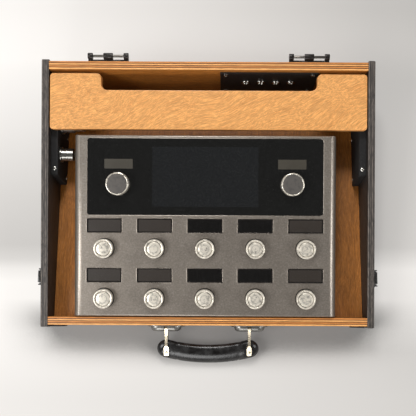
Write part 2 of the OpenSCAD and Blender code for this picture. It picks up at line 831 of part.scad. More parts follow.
// Base plate with two ears whose stub pins carry the lever arms
module latch_plate() {
  plate_mid = latch_top - latch_h/2;
  translate([0, plate_mid, 0]) plate(latch_w, latch_h, latch_plate_t, 2);
  for (side = [-1, 1]) {
    translate([side*(ear_half - ear_t/2), 0, 0]) rotate([90, 0, 90])
      translate([0, 0, -ear_t/2]) linear_extrude(ear_t) polygon(rounded(
        [[-ear_r - 2.2, 0], [ear_r + 2.2, 0], [ear_r, latch_out + ear_r], [-ear_r, latch_out + ear_r]],
        [0, 0, 2.2, 2.2], 5));
    translate([side*(ear_half - ear_t/2), 0, latch_out]) rotate([0, -side*90, 0])
      cylinder(h = ear_t/2 + arm_gap + lever_t, r = stub_r, $fn = small_fn);
  }
}

// Lever: two arms on the stub pins, a cross pin for the claw and a cover with a turned-out tip
module latch_lever() {
  for (side = [-1, 1]) difference() {
    translate([side*(arm_half - lever_t/2), 0, 0]) rotate([90, 0, 90])
      translate([0, 0, -lever_t/2]) linear_extrude(lever_t) polygon(rounded(
        [[arm_end, latch_out - arm_end], [arm_end, latch_out + arm_end],
         [lever_skin_top, lever_skin_out], [-lever_len, lever_skin_out],
         [-lever_len, lever_skin_out - 2.4], [-claw_throw - 2.5, latch_out - 1.8]],
        [arm_end*0.94, arm_end*0.94, 0, 0, 0, 1.6], 5));
    translate([side*arm_half, 0, latch_out]) rotate([0, -side*90, 0])
      translate([0, 0, -1]) cylinder(h = lever_t + 2, r = stub_r + run_gap, $fn = small_fn);
  }
  translate([-arm_half, -lever_len, lever_skin_out - lever_t])
    cube([2*arm_half, lever_len + lever_skin_top, lever_t]);
  translate([-arm_half + 0.6, -lever_len - 1.6, lever_skin_out - lever_t])
    cube([2*arm_half - 1.2, 2, lever_t]);
  translate([-arm_half, -claw_throw, latch_out]) rotate([0, 90, 0])
    cylinder(h = 2*arm_half, r = claw_pin_r, $fn = small_fn);
}

// Claw: an eye on the lever's cross pin and a tongue with a hook turned to the panel
module latch_claw() {
  difference() {
    union() {
      translate([-claw_half, -claw_throw, latch_out]) rotate([0, 90, 0])
        cylinder(h = 2*claw_half, r = claw_eye_r, $fn = small_fn);
      translate([-claw_half, -claw_throw, latch_out - claw_t/2])
        cube([2*claw_half, claw_throw + claw_reach, claw_t]);
      translate([-claw_half, claw_reach - claw_t, 0.6])
        cube([2*claw_half, claw_t, latch_out - 0.6]);
    }
    translate([-claw_half - 1, -claw_throw, latch_out]) rotate([0, 90, 0])
      cylinder(h = 2*claw_half + 2, r = claw_pin_r + run_gap, $fn = small_fn);
  }
}

// Draws a right-hand latch piece on the side that is named
module on_side(side) {
  mirror([side == "left" ? 1 : 0, 0, 0]) children();
}

module wall_side_latch_plate(side) { color("#2b2826") on_side(side) latch_frame() latch_plate(); }
module wall_side_latch_lever(side) { color("#2b2826") on_side(side) latch_frame() latch_lever(); }
module wall_side_latch_claw(side) { color("#3a3633") on_side(side) latch_frame() latch_claw(); }

function coupler_ys() = [coupler_front_y, coupler_front_y + coupler_pitch];

// Local frame of a coupler: Z points into the case from the left wall
module coupler_at(y) {
  translate([-in_w/2, y, coupler_z]) rotate([0, 90, 0]) children();
}

// Through coupler: a socket that fills the wall hole, a nut and a barrel inside
module wall_coupler() {
  difference() {
    union() {
      translate([0, 0, -side_t]) cylinder(h = side_t, r = wall_socket_r);
      translate([0, 0, support_t]) cylinder(h = coupler_nut_t, r = coupler_nut_r);
      cylinder(h = coupler_len, r = coupler_r);
    }
    translate([0, 0, -side_t - 1]) cylinder(h = side_t + coupler_len + 2, r = jack_bore_r);
    translate([0, 0, coupler_len - 1]) cylinder(h = 2, r1 = jack_bore_r, r2 = jack_bore_r + 1.4);
  }
}

module wall_couplers() {
  color("#b7b2a6") for (y = coupler_ys()) coupler_at(y) wall_coupler();
}

// Straight plug pushed into the rear coupler, with a knurled collar at its back
module coupler_plug() {
  color("#c8c4ba") coupler_at(coupler_ys()[1]) translate([0, 0, coupler_len + seat_gap]) {
    rotate_extrude() polygon(rounded(
      [[0, 0], [plug_r, 0], [plug_r, plug_len], [plug_collar_r, plug_len + 0.8],
       [plug_collar_r, plug_len + plug_collar_len], [0, plug_len + plug_collar_len]],
      [0, 0.8, 0.8, 0, 0.8, 0], 4));
    translate([0, 0, -plug_tip_len]) rotate_extrude() polygon(
      [[0, -1.5], [0.8, -1.5], [2.6, 1.2], [1.7, 3.2], [jack_bore_r - run_gap, 4.4],
       [jack_bore_r - run_gap, plug_tip_len + 1], [0, plug_tip_len + 1]]);
  }
}

// Positions on the unit top, as distance across and up the slope
function switch_spot(i) =
  let(k = i - 1)
  [((k % window_count) - (window_count - 1)/2)*switch_pitch,
   switch_row + floor(k/window_count)*row_pitch];
function window_spot(i) = switch_spot(i) + [0, display_ahead];
function knob_spot(side) = [side == "left" ? -knob_x : knob_x, knob_u];
function control_spots() = concat([for (i = SWITCHES) switch_spot(i)],
                                  [for (side = SIDES) knob_spot(side)]);

// Solid form of the housing drawn in by a wall, a top thickness and a flank radius
module wedge(wall, top, r, low) {
  back_top = unit_top_z + unit_d*tan_s;
  drop = top/cos(slope);
  intersection() {
    translate([-unit_shift, 0, 0]) across(unit_w) polygon(rounded(
      [[unit_front_y + wall, low], [unit_back_y - wall, low],
       [unit_back_y - wall, back_top - drop - wall*tan_s],
       [unit_front_y + wall, unit_top_z - drop + wall*tan_s]], [0, 0, 3, 3]));
    on_unit() translate([0, -slope_over, -top]) rotate([-90, 0, 0])
      linear_extrude(unit_len + 2*slope_over)
        polygon(rounded([[-unit_w/2 + wall, 0], [unit_w/2 - wall, 0], [unit_w/2 - wall, unit_len],
                         [-unit_w/2 + wall, unit_len]], [r, r, 0, 0], 8));
  }
}

// Bosses inside the housing that guide the stems
module stem_bosses() {
  on_unit() for (spot = control_spots()) translate([spot[0], spot[1], -stem_bore_d - 1])
    cylinder(h = stem_bore_d + 1 - unit_top_t/2, r = stem_r + boss_wall);
}

// Housing: a folded wedge with rounded flanks, open below, with its recesses and guides
module unit_housing() {
  color("#7d756c") difference() {
    union() {
      difference() {
        wedge(0, 0, flank_r, unit_bottom_z + unit_base_t);
        wedge(unit_wall, unit_top_t, flank_r - unit_wall, unit_bottom_z - 1);
      }
      stem_bosses();
    }
    on_unit() {
      translate([0, glass_u, -glass_recess]) plate(glass_w + 0.4, glass_d + 0.4, 10, glass_corner + 0.2);
      for (i = SWITCHES) {
        translate([window_spot(i)[0], window_spot(i)[1], -window_recess - window_t])
          plate(window_w, window_d, 10, window_corner);
        translate([switch_spot(i)[0], switch_spot(i)[1], -cap_recess])
          cylinder(h = 10, r = cap_recess_r);
      }
      for (spot = control_spots()) translate([spot[0], spot[1], -stem_bore_d])
        cylinder(h = 30, r = stem_r + run_gap);
    }
    for (x = unit_jack_xs()) translate([x, unit_back_y, unit_jack_z]) rotate([90, 0, 0])
      translate([0, 0, -1]) cylinder(h = unit_wall + 2, r = jack_barrel_r + seat_gap);
  }
}

function unit_jack_xs() =
  [for (i = [0:unit_jack_count - 1]) -unit_shift + (i - (unit_jack_count - 1)/2)*unit_jack_pitch];

// Row of blind jack sockets in the back of the unit, each with its nut
module unit_jacks() {
  color("#3a3835") for (x = unit_jack_xs()) translate([x, unit_back_y, unit_jack_z])
    rotate([90, 0, 0]) difference() {
      union() {
        translate([0, 0, -unit_jack_lip])
          cylinder(h = unit_jack_depth + unit_jack_lip, r = jack_barrel_r);
        translate([0, 0, -unit_jack_lip]) cylinder(h = unit_jack_lip, r = jack_barrel_r + 2.4);
      }
      translate([0, 0, -unit_jack_lip - 1])
        cylinder(h = unit_jack_depth - unit_jack_floor + unit_jack_lip + 1, r = jack_bore_r);
    }
}

module unit_base() {
  color("#2f2d2b") translate([-unit_shift, unit_front_y + unit_d/2, unit_bottom_z])
    plate(unit_w - 2, unit_d - 2, unit_base_t, 3);
}

module unit_feet() {
  color("#1b1a19") for (x = [-1, 1], y = [-1, 1])
    translate([-unit_shift + x*(unit_w/2 - unit_feet_edge),
               unit_front_y + unit_d/2 + y*(unit_d/2 - unit_feet_edge), floor_top])
      rubber_foot(unit_feet_r, unit_feet_h);
}

module unit_glass() {
  color("#1d1d1d") on_unit() difference() {
    translate([0, glass_u, -glass_recess]) plate(glass_w, glass_d, glass_t, glass_corner);
    for (side = SIDES) translate([knob_spot(side)[0], knob_spot(side)[1], -5])
      cylinder(h = 10, r = knob_clear_r);
  }
}

module unit_displays() {
  color("#2a2725") on_unit() for (i = SWITCHES)
    translate([window_spot(i)[0], window_spot(i)[1], -window_recess - window_t])
      plate(window_w, window_d, window_t, window_corner);
}

// Turned stem: a thin shaft that presses and carries a cap
module control_stem(spot, top) {
  on_unit() translate([spot[0], spot[1], -stem_bottom]) cylinder(h = stem_bottom + top, r = stem_r);
}

// Turned footswitch cap: a rounded rim, a groove and a shallow crowned middle
module switch_cap(i) {
  groove_out = cap_r*0.80;
  groove_in = cap_r*0.73;
  seat_h = cap_h - cap_crown_t + seat_gap;
  color("#d8d3ca") on_unit() translate([switch_spot(i)[0], switch_spot(i)[1], cap_foot])
    rotate_extrude() polygon(concat(
      rounded([[stem_r + run_gap, 0], [cap_r - 0.6, 0], [cap_r, 0.6], [cap_r, cap_h],
               [groove_out, cap_h - 0.3], [groove_out, cap_h - 1.6]],
              [0, 0, 0, 1.4, 0.4, 0], 5),
      [[groove_in, cap_h - 1.6], [groove_in, cap_h - 0.7]],
      [for (t = [1:6]) [groove_in*cos(t*15), cap_h - 0.7 + 0.9*sin(t*15)]],
      [[0, seat_h], [stem_r + run_gap, seat_h]]));
}

module switch_stem(i) {
  color("#6f6a64") control_stem(switch_spot(i), switch_stem_top);
}

// Knob: a bright chamfered rim round a flat matt top
module knob_cap(side) {
  seat_h = knob_h - cap_crown_t + seat_gap;
  color("#9a958d") on_unit() translate([knob_spot(side)[0], knob_spot(side)[1], knob_foot])
    rotate_extrude() polygon(
      [[stem_r + run_gap, 0], [knob_r, 0], [knob_r, knob_h - 1.6], [knob_r - 1.6, knob_h],
       [knob_r - 2.8, knob_h], [knob_r - 3.1, knob_h - 0.4], [0, knob_h - 0.4],
       [0, seat_h], [stem_r + run_gap, seat_h]]);
}

module knob_stem(side) {
  color("#6f6a64") control_stem(knob_spot(side), knob_stem_top);
}

side_panel_left();
side_panel_right();
front_wall();
back_wall();
floor_panel();
shelf();
shelf_supports();
support_screws();
patch_panel();
patch_jacks();
patch_screws();
hinge_leaf_left();
hinge_leaf_right();
hinge_pins();
case_screws();
corner_protectors();
case_feet();
handle_mounts();
handle_pins();
handle_bails();
handle_grip();
wall_couplers();
coupler_plug();
unit_housing();
unit_base();
unit_glass();
unit_displays();
unit_jacks();
unit_feet();
for (side = SIDES) {
  wall_side_latch_plate(side);
  wall_side_latch_lever(side);
  wall_side_latch_claw(side);
  knob_stem(side);
  knob_cap(side);
}
for (i = SWITCHES) {
  switch_stem(i);
  switch_cap(i);
}
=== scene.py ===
"""Looks of an open plywood pedal case that holds a floor effects unit.

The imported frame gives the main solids. This file softens their edges, gives every one its
finish, and adds the fine pieces: turned caps and knobs, window rims and fields, the padded
grip and the knurled collar of the plug. Lengths are in metres, with X across the case, Y from
the handle to the hinges and Z up.
"""

import json
import math

import bmesh
import bpy
from mathutils import Matrix, Vector


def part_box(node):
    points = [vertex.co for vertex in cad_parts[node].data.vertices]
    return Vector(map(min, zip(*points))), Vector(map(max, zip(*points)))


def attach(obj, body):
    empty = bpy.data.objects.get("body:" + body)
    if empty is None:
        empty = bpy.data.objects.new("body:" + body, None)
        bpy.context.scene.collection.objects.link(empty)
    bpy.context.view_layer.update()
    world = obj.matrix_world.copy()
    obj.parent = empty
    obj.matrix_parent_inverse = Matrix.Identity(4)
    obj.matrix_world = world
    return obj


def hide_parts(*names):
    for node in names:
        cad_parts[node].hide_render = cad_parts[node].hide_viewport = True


bl_info = {
    "name": "Pedal case finishes",
    "version": (1, 0, 0),
    "blender": (4, 5, 0),
    "location": "View3D > Sidebar > Pedal case",
    "description": "Finishes and fine pieces of an open plywood pedal case",
    "category": "Object",
}

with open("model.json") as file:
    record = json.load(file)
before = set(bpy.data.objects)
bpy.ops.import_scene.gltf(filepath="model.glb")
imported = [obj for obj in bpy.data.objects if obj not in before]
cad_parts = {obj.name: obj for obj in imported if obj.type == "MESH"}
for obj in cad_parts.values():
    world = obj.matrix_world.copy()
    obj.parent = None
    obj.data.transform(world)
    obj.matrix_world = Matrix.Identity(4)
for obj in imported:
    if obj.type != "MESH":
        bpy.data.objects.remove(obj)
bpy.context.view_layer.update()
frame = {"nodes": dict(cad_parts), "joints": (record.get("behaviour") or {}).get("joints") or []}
CAD = frame["nodes"]
MM = 0.001
SIDES = ("left", "right")
SWITCHES = range(1, 11)
# Edges that turn by more than this are rounded
SHARP_EDGE = math.radians(38)
# A flat face of more than a square centimetre is shaded by itself
WIDE_FACE = 1e-4
# Plies that show on the sawn edge of a board
PLIES = 4
# Radius in millimetres of the bore that takes a stem, and how far it ends below the top
BORE, ROOF = 3.3, 3.3
# How far a knob stands off the glass, in millimetres
KNOB_GAP = 1.3
# Name, place, width in metres and power in watts of each studio lamp
LAMPS = (
    ("key_lamp", (-1.4, -0.5, 1.5), 0.9, 26.0),
    ("right_lamp", (1.5, -0.3, 1.15), 0.7, 11.0),
    ("back_lamp", (-0.1, 0.95, 1.35), 0.4, 12.0),
    ("front_lamp", (-0.3, -1.7, 0.9), 0.7, 12.0))
# Painted light on the studio paper, from 0.3 m in front of the middle (0) to 0.4 m behind it (1):
# the level of its glow on the left and on the right of the case, with painted bright and dark
# bands where the light falls off, and a painted horizon
PAINTED_LIGHT_LEFT = (
    (0.03, 0.68), (0.13, 0.83), (0.22, 0.95), (0.28, 0.98), (0.31, 0.77), (0.33, 0.47),
    (0.364, 0.32), (0.4, 0.36), (0.47, 0.46), (0.64, 0.78), (0.8, 1.0), (0.93, 0.88))
PAINTED_LIGHT_RIGHT = (
    (0.03, 0.37), (0.13, 0.32), (0.24, 0.7), (0.31, 0.8), (0.36, 0.42), (0.5, 0.4),
    (0.64, 0.38), (0.8, 0.3), (0.93, 0.16))
# Side of the square view and focal length of its camera, both in pixels
VIEW_SIDE, VIEW_FOCAL = 416, 602.5


def joint(name):
    """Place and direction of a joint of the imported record."""
    entry = next(j for j in frame["joints"] if j["name"] == name)
    return Vector(entry["pos_m"]), Vector(entry["axis"])


# The top of the floor unit slopes up to the back, and every cap stands square to it
UNIT_UP = joint("switch_turn_3")[1]
SLOPE = math.atan2(-UNIT_UP.y, UNIT_UP.z)
TILT = Matrix.Rotation(SLOPE, 4, "X")
TO_RIGHT = Matrix.Rotation(math.radians(90), 4, "Y")


def on_slope(point, up=0.0, out=0.0):
    """Matrix of a place on the sloped top: Y runs up the slope and Z stands square to it."""
    return Matrix.Translation(point) @ TILT @ Matrix.Translation((0, up, out))


# Colours and sizes that a user may change


def linear(code):
    """Linear colour, fully covering, of an sRGB hex value."""
    parts = [int(code[i:i + 2], 16) / 255 for i in (1, 3, 5)]
    curve = [c / 12.92 if c <= 0.04045 else ((c + 0.055) / 1.055) ** 2.4 for c in parts]
    return (*curve, 1.0)


def colour(name, about, code):
    """A colour setting with its default as an sRGB hex value."""
    return bpy.props.FloatVectorProperty(
        name=name, description=about, default=linear(code), size=4, min=0, max=1, subtype="COLOR")


def length(name, about, default):
    """A length setting in metres."""
    return bpy.props.FloatProperty(
        name=name, description=about, default=default, min=0, unit="LENGTH", precision=5)


class PedalCaseColours(bpy.types.PropertyGroup):
    """Colours of the case, of its fittings and of the floor unit."""

    veneer: colour("Veneer", "Oiled birch face of the shelf", "#E8A963")
    veneer_dark: colour("Veneer grain", "Darker grain of the birch face", "#B87234")
    ply_edge: colour("Ply edge", "Sanded and oiled edge of the birch plywood", "#F5B46C")
    ply_cross: colour("Cross plies", "Plies that show their end grain on an edge", "#CB8443")
    ply_glue: colour("Glue lines", "Glue between the plies", "#45240F")
    inside_wood: colour("Inside wood", "Face veneer of the walls and the floor", "#BC7731")
    inside_dark: colour("Inside grain", "Darker grain of the walls and the floor", "#7E4A1A")
    black_stain: colour("Black stain", "Faces of the stained side boards", "#2A2522")
    stain_edge: colour("Stained edge", "Worn edge of the stained side boards", "#756B63")
    stain_glue: colour("Stained glue lines", "Lines along the edge of the side boards", "#1F1B19")
    black_paint: colour("Black paint", "Boards that carry the shelf", "#0D0B0A")
    powder_black: colour("Powder coat", "Patch panel and latches", "#1A1918")
    oxide_black: colour("Black oxide", "Hinges and their screws", "#282320")
    nickel: colour("Nickel", "Plated nuts, couplers and screws", "#C9C6BF")
    warm_nickel: colour("Warm nickel", "Straps of the handle", "#E6D8BE")
    brass: colour("Brass", "Knurled collar of the plug", "#B99A6A")
    steel: colour("Steel", "Bare pins and stems", "#77716A")
    grip: colour("Grip", "Moulded padding of the handle", "#070504")
    rubber: colour("Rubber", "Feet and corner guards", "#1D1B1A")
    unit_grey: colour("Unit grey", "Coated housing of the floor unit", "#968D83")
    unit_rim: colour("Window rim", "Bright rims of the windows and the glass", "#8C8379")
    glass: colour("Glass", "Black glass of the control panel", "#0E0E0D")
    screen: colour("Screen", "Screen under the glass", "#161718")
    label: colour("Label window", "Smoked windows above the knobs", "#3C3830")
    display: colour("Display", "Smoked window of a display", "#161311")
    display_inner: colour("Display field", "Field of a display under its window", "#2B2520")
    cap: colour("Cap", "Turned footswitch caps", "#ECE4D5")
    knob_top: colour("Knob top", "Blasted top of a knob", "#57534F")
    floor: colour("Floor", "Pale studio floor", "#D3D0CC")


class PedalCaseSizes(bpy.types.PropertyGroup):
    """Sizes of what is added to the solids."""

    board_edge: length("Board edge", "Rounding along the edges of the boards", 1.3 * MM)
    sheet_edge: length("Sheet edge", "Rounding along the edges of metal sheet", 0.3 * MM)
    moulded_edge: length("Moulded edge", "Rounding along the edges of plastic and rubber", 0.8 * MM)
    window_rim: length("Window rim", "Width of the rim round a display window", 1.1 * MM)
    window_width: length("Window width", "Width of a display window", 51.2 * MM)
    window_depth: length("Window depth", "Depth of a display window", 20.8 * MM)
    display_ahead: length("Display ahead", "From a footswitch to its display", 33.1 * MM)
    cap_radius: length("Cap radius", "Radius of a footswitch cap", 14.0 * MM)
    cap_height: length("Cap height", "Height of a footswitch cap over the unit", 9.6 * MM)
    knob_radius: length("Knob radius", "Radius of a knob", 16.75 * MM)
    knob_height: length("Knob height", "Height of a knob over the unit", 12.0 * MM)
    grip_bow: length("Grip bow", "Bow of the grip in its middle", 8.7 * MM)


def settings(context):
    """The sizes and the colours as the user left them."""
    return context.scene.pedal_case_sizes, context.scene.pedal_case_colours


# Meshes


def merged(node, flat=True):
    """A CAD node's form with its loose triangles joined, and its flat faces made whole."""
    mesh = bmesh.new()
    mesh.from_mesh(CAD[node].data)
    bmesh.ops.remove_doubles(mesh, verts=mesh.verts, dist=0.01 * MM)
    if flat:
        bmesh.ops.dissolve_limit(
            mesh, angle_limit=math.radians(0.8), verts=mesh.verts, edges=mesh.edges)
    return mesh


def soften(mesh, width, segments=2):
    """Rounds the sharp edges of a form."""
    sharp = [e for e in mesh.edges if e.is_manifold and e.calc_face_angle(0) > SHARP_EDGE]
    bmesh.ops.bevel(
        mesh, geom=sharp, offset=width, offset_type="OFFSET", segments=segments, profile=0.5,
        affect="EDGES", material=-1, clamp_overlap=True, loop_slide=True)
    return mesh


def in_metres(profile):
    """The points of a profile that is written in millimetres."""
    return [(radius * MM, height * MM) for radius, height in profile]


def lathed(profile, place, steps, rounding=0.0):
    """A turned form: (radius, height) points spun once round Z, then set by a matrix.

    Each point keeps its radius and height in an attribute for patterns that follow the turning.
    """
    mesh = bmesh.new()
    turning = mesh.verts.layers.float_vector.new("turning")
    points = [mesh.verts.new((radius, 0, height)) for radius, height in profile]
    for pair in zip(points, points[1:]):
        mesh.edges.new(pair)
    if rounding:
        bmesh.ops.bevel(
            mesh, geom=points[1:-1], offset=rounding, offset_type="OFFSET", segments=3,
            profile=0.5, affect="VERTICES", material=-1, clamp_overlap=True)
    for point in mesh.verts:
        point[turning] = (point.co.x, point.co.z, 0)
    bmesh.ops.spin(
        mesh, geom=mesh.verts[:] + mesh.edges[:], cent=(0, 0, 0), axis=(0, 0, 1),
        dvec=(0, 0, 0), angle=math.tau, steps=steps, use_merge=True)
    bmesh.ops.remove_doubles(mesh, verts=mesh.verts, dist=0.001 * MM)
    bmesh.ops.transform(mesh, matrix=place, verts=mesh.verts)
    return mesh


def flute(mesh, place, steps, low, high, radius, depth):
    """Draws every other row of points inwards, for the flutes of a turned wall."""
    back = place.inverted()
    chosen = []
    for point in mesh.verts:
        local = back @ point.co
        turn = round(math.atan2(local.y, local.x) / math.tau * steps)
        if low < local.z < high and local.xy.length > radius and turn % 2:
            chosen.append(point)
    scale = 1 - depth / radius
    bmesh.ops.scale(mesh, vec=(scale, scale, 1), space=back, verts=chosen)


def outline(width, depth, corner):
    """A flat face with round corners."""
    mesh = bmesh.new()
    bmesh.ops.create_grid(mesh, x_segments=1, y_segments=1, size=0.5)
    bmesh.ops.scale(mesh, vec=(width, depth, 1), verts=mesh.verts)
    bmesh.ops.bevel(
        mesh, geom=mesh.verts[:], offset=corner, offset_type="OFFSET", segments=6, profile=0.5,
        affect="VERTICES", material=-1, clamp_overlap=True)
    return mesh


def rounded_plate(width, depth, height, corner, place, edge=0.0):
    """A plate with round corners that stands on a place, its top edge softened."""
    mesh = outline(width, depth, corner)
    raised = bmesh.ops.extrude_face_region(mesh, geom=mesh.faces[:])["geom"]
    top = [g for g in raised if isinstance(g, bmesh.types.BMVert)]
    bmesh.ops.translate(mesh, vec=(0, 0, height), verts=top)
    bmesh.ops.recalc_face_normals(mesh, faces=mesh.faces)
    if edge:
        upper = [e for e in mesh.edges if all(v.co.z > height / 2 for v in e.verts)]
        bmesh.ops.bevel(
            mesh, geom=upper, offset=edge, offset_type="OFFSET", segments=3, profile=0.5,
            affect="EDGES", material=-1, clamp_overlap=True)
    bmesh.ops.transform(mesh, matrix=place, verts=mesh.verts)
    return mesh


def rim(width, depth, corner, wall, height, place):
    """A low round-cornered rim: an outline drawn in by its wall, raised and crowned."""
    mesh = outline(width + 2 * wall, depth + 2 * wall, corner + wall)
    inner = mesh.faces[:]
    for step in (height, -height):
        bmesh.ops.inset_region(
            mesh, faces=inner, use_boundary=True, use_even_offset=True, thickness=wall / 2,
            depth=step)
    bmesh.ops.delete(mesh, geom=inner, context="FACES")
    bmesh.ops.transform(mesh, matrix=place, verts=mesh.verts)
    return mesh


def joined(meshes):
    """Several meshes as one."""
    whole = bmesh.new()
    whole.verts.layers.float_vector.new("turning")
    for mesh in meshes:
        data = bpy.data.meshes.new("part")
        mesh.to_mesh(data)
        mesh.free()
        whole.from_mesh(data)
        bpy.data.meshes.remove(data)
    return whole


def shade(mesh, smooth, crisp):
    """Shades a form smooth up to an angle in degrees.

    The faces that look along crisp keep a sharp outline. Without it, the wide faces do.
    """
    limit = math.radians(smooth)
    for edge in mesh.edges:
        level = [crisp is not None and f.normal.dot(crisp) > 0.9999 for f in edge.link_faces]
        edge.smooth = edge.is_manifold and edge.calc_face_angle(0) < limit and (
            all(level) or not any(level))
    for face in mesh.faces:
        face.smooth = True
        if crisp is None and face.calc_area() > WIDE_FACE:
            for edge in face.edges:
                edge.smooth = False


def piece(mesh, name, body, material, replaces=(), smooth=32, crisp=None):
    """Makes a finished object of a mesh, which rides on a body and may stand for CAD nodes."""
    bmesh.ops.recalc_face_normals(mesh, faces=mesh.faces)
    shade(mesh, smooth, crisp)
    data = bpy.data.meshes.new(name)
    mesh.to_mesh(data)
    mesh.free()
    data.materials.append(material)
    made = bpy.data.objects.new(name, data)
    bpy.context.scene.collection.objects.link(made)
    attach(made, body)
    if replaces:
        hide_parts(*replaces)


def softened(node, name, body, material, width, segments=2):
    """A CAD node's own form with its sharp edges rounded, in the node's place."""
    mesh = soften(merged(node), width, segments)
    piece(mesh, name, body, material, (node,))


def as_made(node, name, body, material):
    """A CAD node's own form, shaded smooth, for pieces whose edges are round already."""
    piece(merged(node, False), name, body, material, (node,), 40)


def finish_node(node, material):
    """Gives a CAD node that stays in view its material."""
    slots = CAD[node].data.materials
    slots.clear()
    slots.append(material)


# Materials


def join(node, inputs):
    """Sets a shader node's sockets, each by a value or by a socket to link from."""
    for key, value in inputs.items():
        if isinstance(value, bpy.types.NodeSocket):
            node.id_data.links.new(value, node.inputs[key])
        else:
            node.inputs[key].default_value = value
    return node


def put(owner, kind, inputs=None, **options):
    """Adds a shader node to a material or a world, with its options and its sockets."""
    node = owner.node_tree.nodes.new("ShaderNode" + kind)
    stops = options.pop("stops", None)
    for name, value in options.items():
        setattr(node, name, value)
    if stops:
        ramp = node.color_ramp.elements
        while len(ramp) < len(stops):
            ramp.new(1.0)
        for element, (position, tint) in zip(ramp, stops):
            element.position = position
            element.color = tint
    return join(node, inputs or {})


def blank(name):
    """A new material and its shader."""
    material = bpy.data.materials.new(name)
    material.use_nodes = True
    return material, material.node_tree.nodes["Principled BSDF"]


def grey(value):
    """A grey of one linear value."""
    return (value, value, value, 1.0)


def mixed(first, second, part):
    """A colour between two others; part says how much of the second it takes."""
    return tuple(a + (b - a) * part for a, b in zip(first, second))


def ply_bands(face, edge, cross, glue):
    """Colours through a board from face to face: plies in turn, with glue between them."""
    bands = [(0.0, face), (0.03, edge)]
    before, after = edge, cross
    for ply in range(1, PLIES):
        line = ply / PLIES
        bands += [(line - 0.07, before), (line - 0.03, glue), (line + 0.03, glue),
                  (line + 0.07, after)]
        before, after = after, before
    return bands + [(0.97, before), (1.0, face)]


def plywood(name, layers, faces, edge, cross, glue, grain, turn=(0, 0, 0), gloss=0.42,
            streak=0.66, curl=0.025):
    """Oiled birch plywood, sawn and sanded.

    Fine pores and slow waves of grain run along the board, and where an edge cuts the plies
    it shows bands with dark glue lines. layers holds the direction through the board divided
    by its thickness, and where the board starts on it. grain is how many pores go on a metre
    along each axis, after turn has turned them. streak is the level of the darkest streaks,
    and curl is how far the grain wanders, in metres.
    """
    material, shader = blank(name)
    pale, dark = faces
    direction, start = layers
    place = put(material, "TexCoord").outputs["Object"]
    turned = put(material, "Mapping", {"Vector": place, "Rotation": turn}).outputs[0]
    # The grain wanders in slow curves, some 100 mm long
    slow = put(
        material, "TexNoise", {"Vector": place, "Scale": 9.0, "Detail": 1.0, "Roughness": 0.4})
    drift = put(
        material, "VectorMath", {0: slow.outputs[1], 1: (curl, curl, curl), 2: turned},
        operation="MULTIPLY_ADD").outputs[0]
    stretched = put(
        material, "VectorMath", {0: drift, 1: grain}, operation="MULTIPLY").outputs[0]
    # Pores about 0.6 mm wide and 8 mm long, coarser than real ones so that they show
    pores = put(
        material, "TexNoise",
        {"Vector": stretched, "Scale": 1.0, "Detail": 5.0, "Roughness": 0.62, "Distortion": 0.4})
    # Figure: slow waves about 9 mm wide and 120 mm long that bend round each other
    broad = put(
        material, "VectorMath", {0: stretched, 1: (0.07, 0.07, 0.07)},
        operation="MULTIPLY").outputs[0]
    figure = put(
        material, "TexNoise",
        {"Vector": broad, "Scale": 1.0, "Detail": 3.0, "Roughness": 0.5, "Distortion": 1.6})
    tone = put(
        material, "ValToRGB", {"Fac": figure.outputs[0]},
        stops=[(0.36, mixed(pale, dark, 0.45)), (0.52, pale), (0.66, mixed(pale, dark, 0.3))])
    fleck = put(
        material, "ValToRGB", {"Fac": pores.outputs[0]},
        stops=[(0.36, mixed(dark, glue, 0.25)), (0.46, mixed(pale, dark, 0.4)),
               (0.56, pale), (0.72, mixed(pale, (1, 0.9, 0.75, 1), 0.18))])
    plain = put(
        material, "Mix", {0: 0.5, 6: tone.outputs[0], 7: fleck.outputs[0]}, data_type="RGBA")
    # Streaks about 2 mm wide and 25 mm long, which bend with the figure
    bent = put(
        material, "VectorMath", {0: stretched, 1: (0.32, 0.32, 0.32)},
        operation="MULTIPLY").outputs[0]
    streaks = put(
        material, "TexNoise",
        {"Vector": bent, "Scale": 1.0, "Detail": 4.0, "Roughness": 0.65, "Distortion": 0.4})
    streaked = put(
        material, "ValToRGB", {"Fac": streaks.outputs[0]},
        stops=[(0.36, grey(streak)), (0.5, grey(0.5 + streak / 2)), (0.6, grey(1.0)),
               (0.72, grey(1.12))])
    face = put(
        material, "Mix", {0: 1.0, 6: plain.outputs[2], 7: streaked.outputs[0]},
        data_type="RGBA", blend_type="MULTIPLY")
    # Position through the plies, made a little uneven
    through = put(
        material, "VectorMath", {0: place, 1: direction}, operation="DOT_PRODUCT").outputs[1]
    wobble = put(
        material, "MapRange", {0: figure.outputs[0], 3: -start - 0.03, 4: -start + 0.03}).outputs[0]
    depth = put(material, "Math", {0: through, 1: wobble}, operation="ADD").outputs[0]
    plies_seen = put(
        material, "ValToRGB", {"Fac": depth}, stops=ply_bands(pale, edge, cross, glue))
    # How far the point lies from the middle of the board: 0.5 on a face, less where a saw cut it
    from_middle = put(
        material, "MapRange", {0: depth, 1: 0.5, 2: 0.0, 3: 0.0, 4: 0.5}, clamp=False).outputs[0]
    away = put(material, "Math", {0: from_middle}, operation="ABSOLUTE").outputs[0]
    cut = put(
        material, "MapRange", {0: away, 1: 0.495, 2: 0.455, 3: 0.0, 4: 0.82}).outputs[0]
    worn = put(
        material, "Mix", {0: 0.8, 6: plies_seen.outputs[0], 7: streaked.outputs[0]},
        data_type="RGBA", blend_type="MULTIPLY")
    both = put(
        material, "Mix", {0: cut, 6: face.outputs[2], 7: worn.outputs[2]}, data_type="RGBA")
    rough = put(
        material, "MapRange", {0: pores.outputs[0], 3: gloss + 0.12, 4: gloss - 0.06}).outputs[0]
    bump = put(
        material, "Bump", {"Height": pores.outputs[0], "Strength": 0.25, "Distance": 0.2 * MM})
    join(shader, {"Base Color": both.outputs[2], "Roughness": rough, "Normal": bump.outputs[0],
                  "IOR": 1.47, "Coat Weight": 0.06, "Coat Roughness": 0.35})
    return material


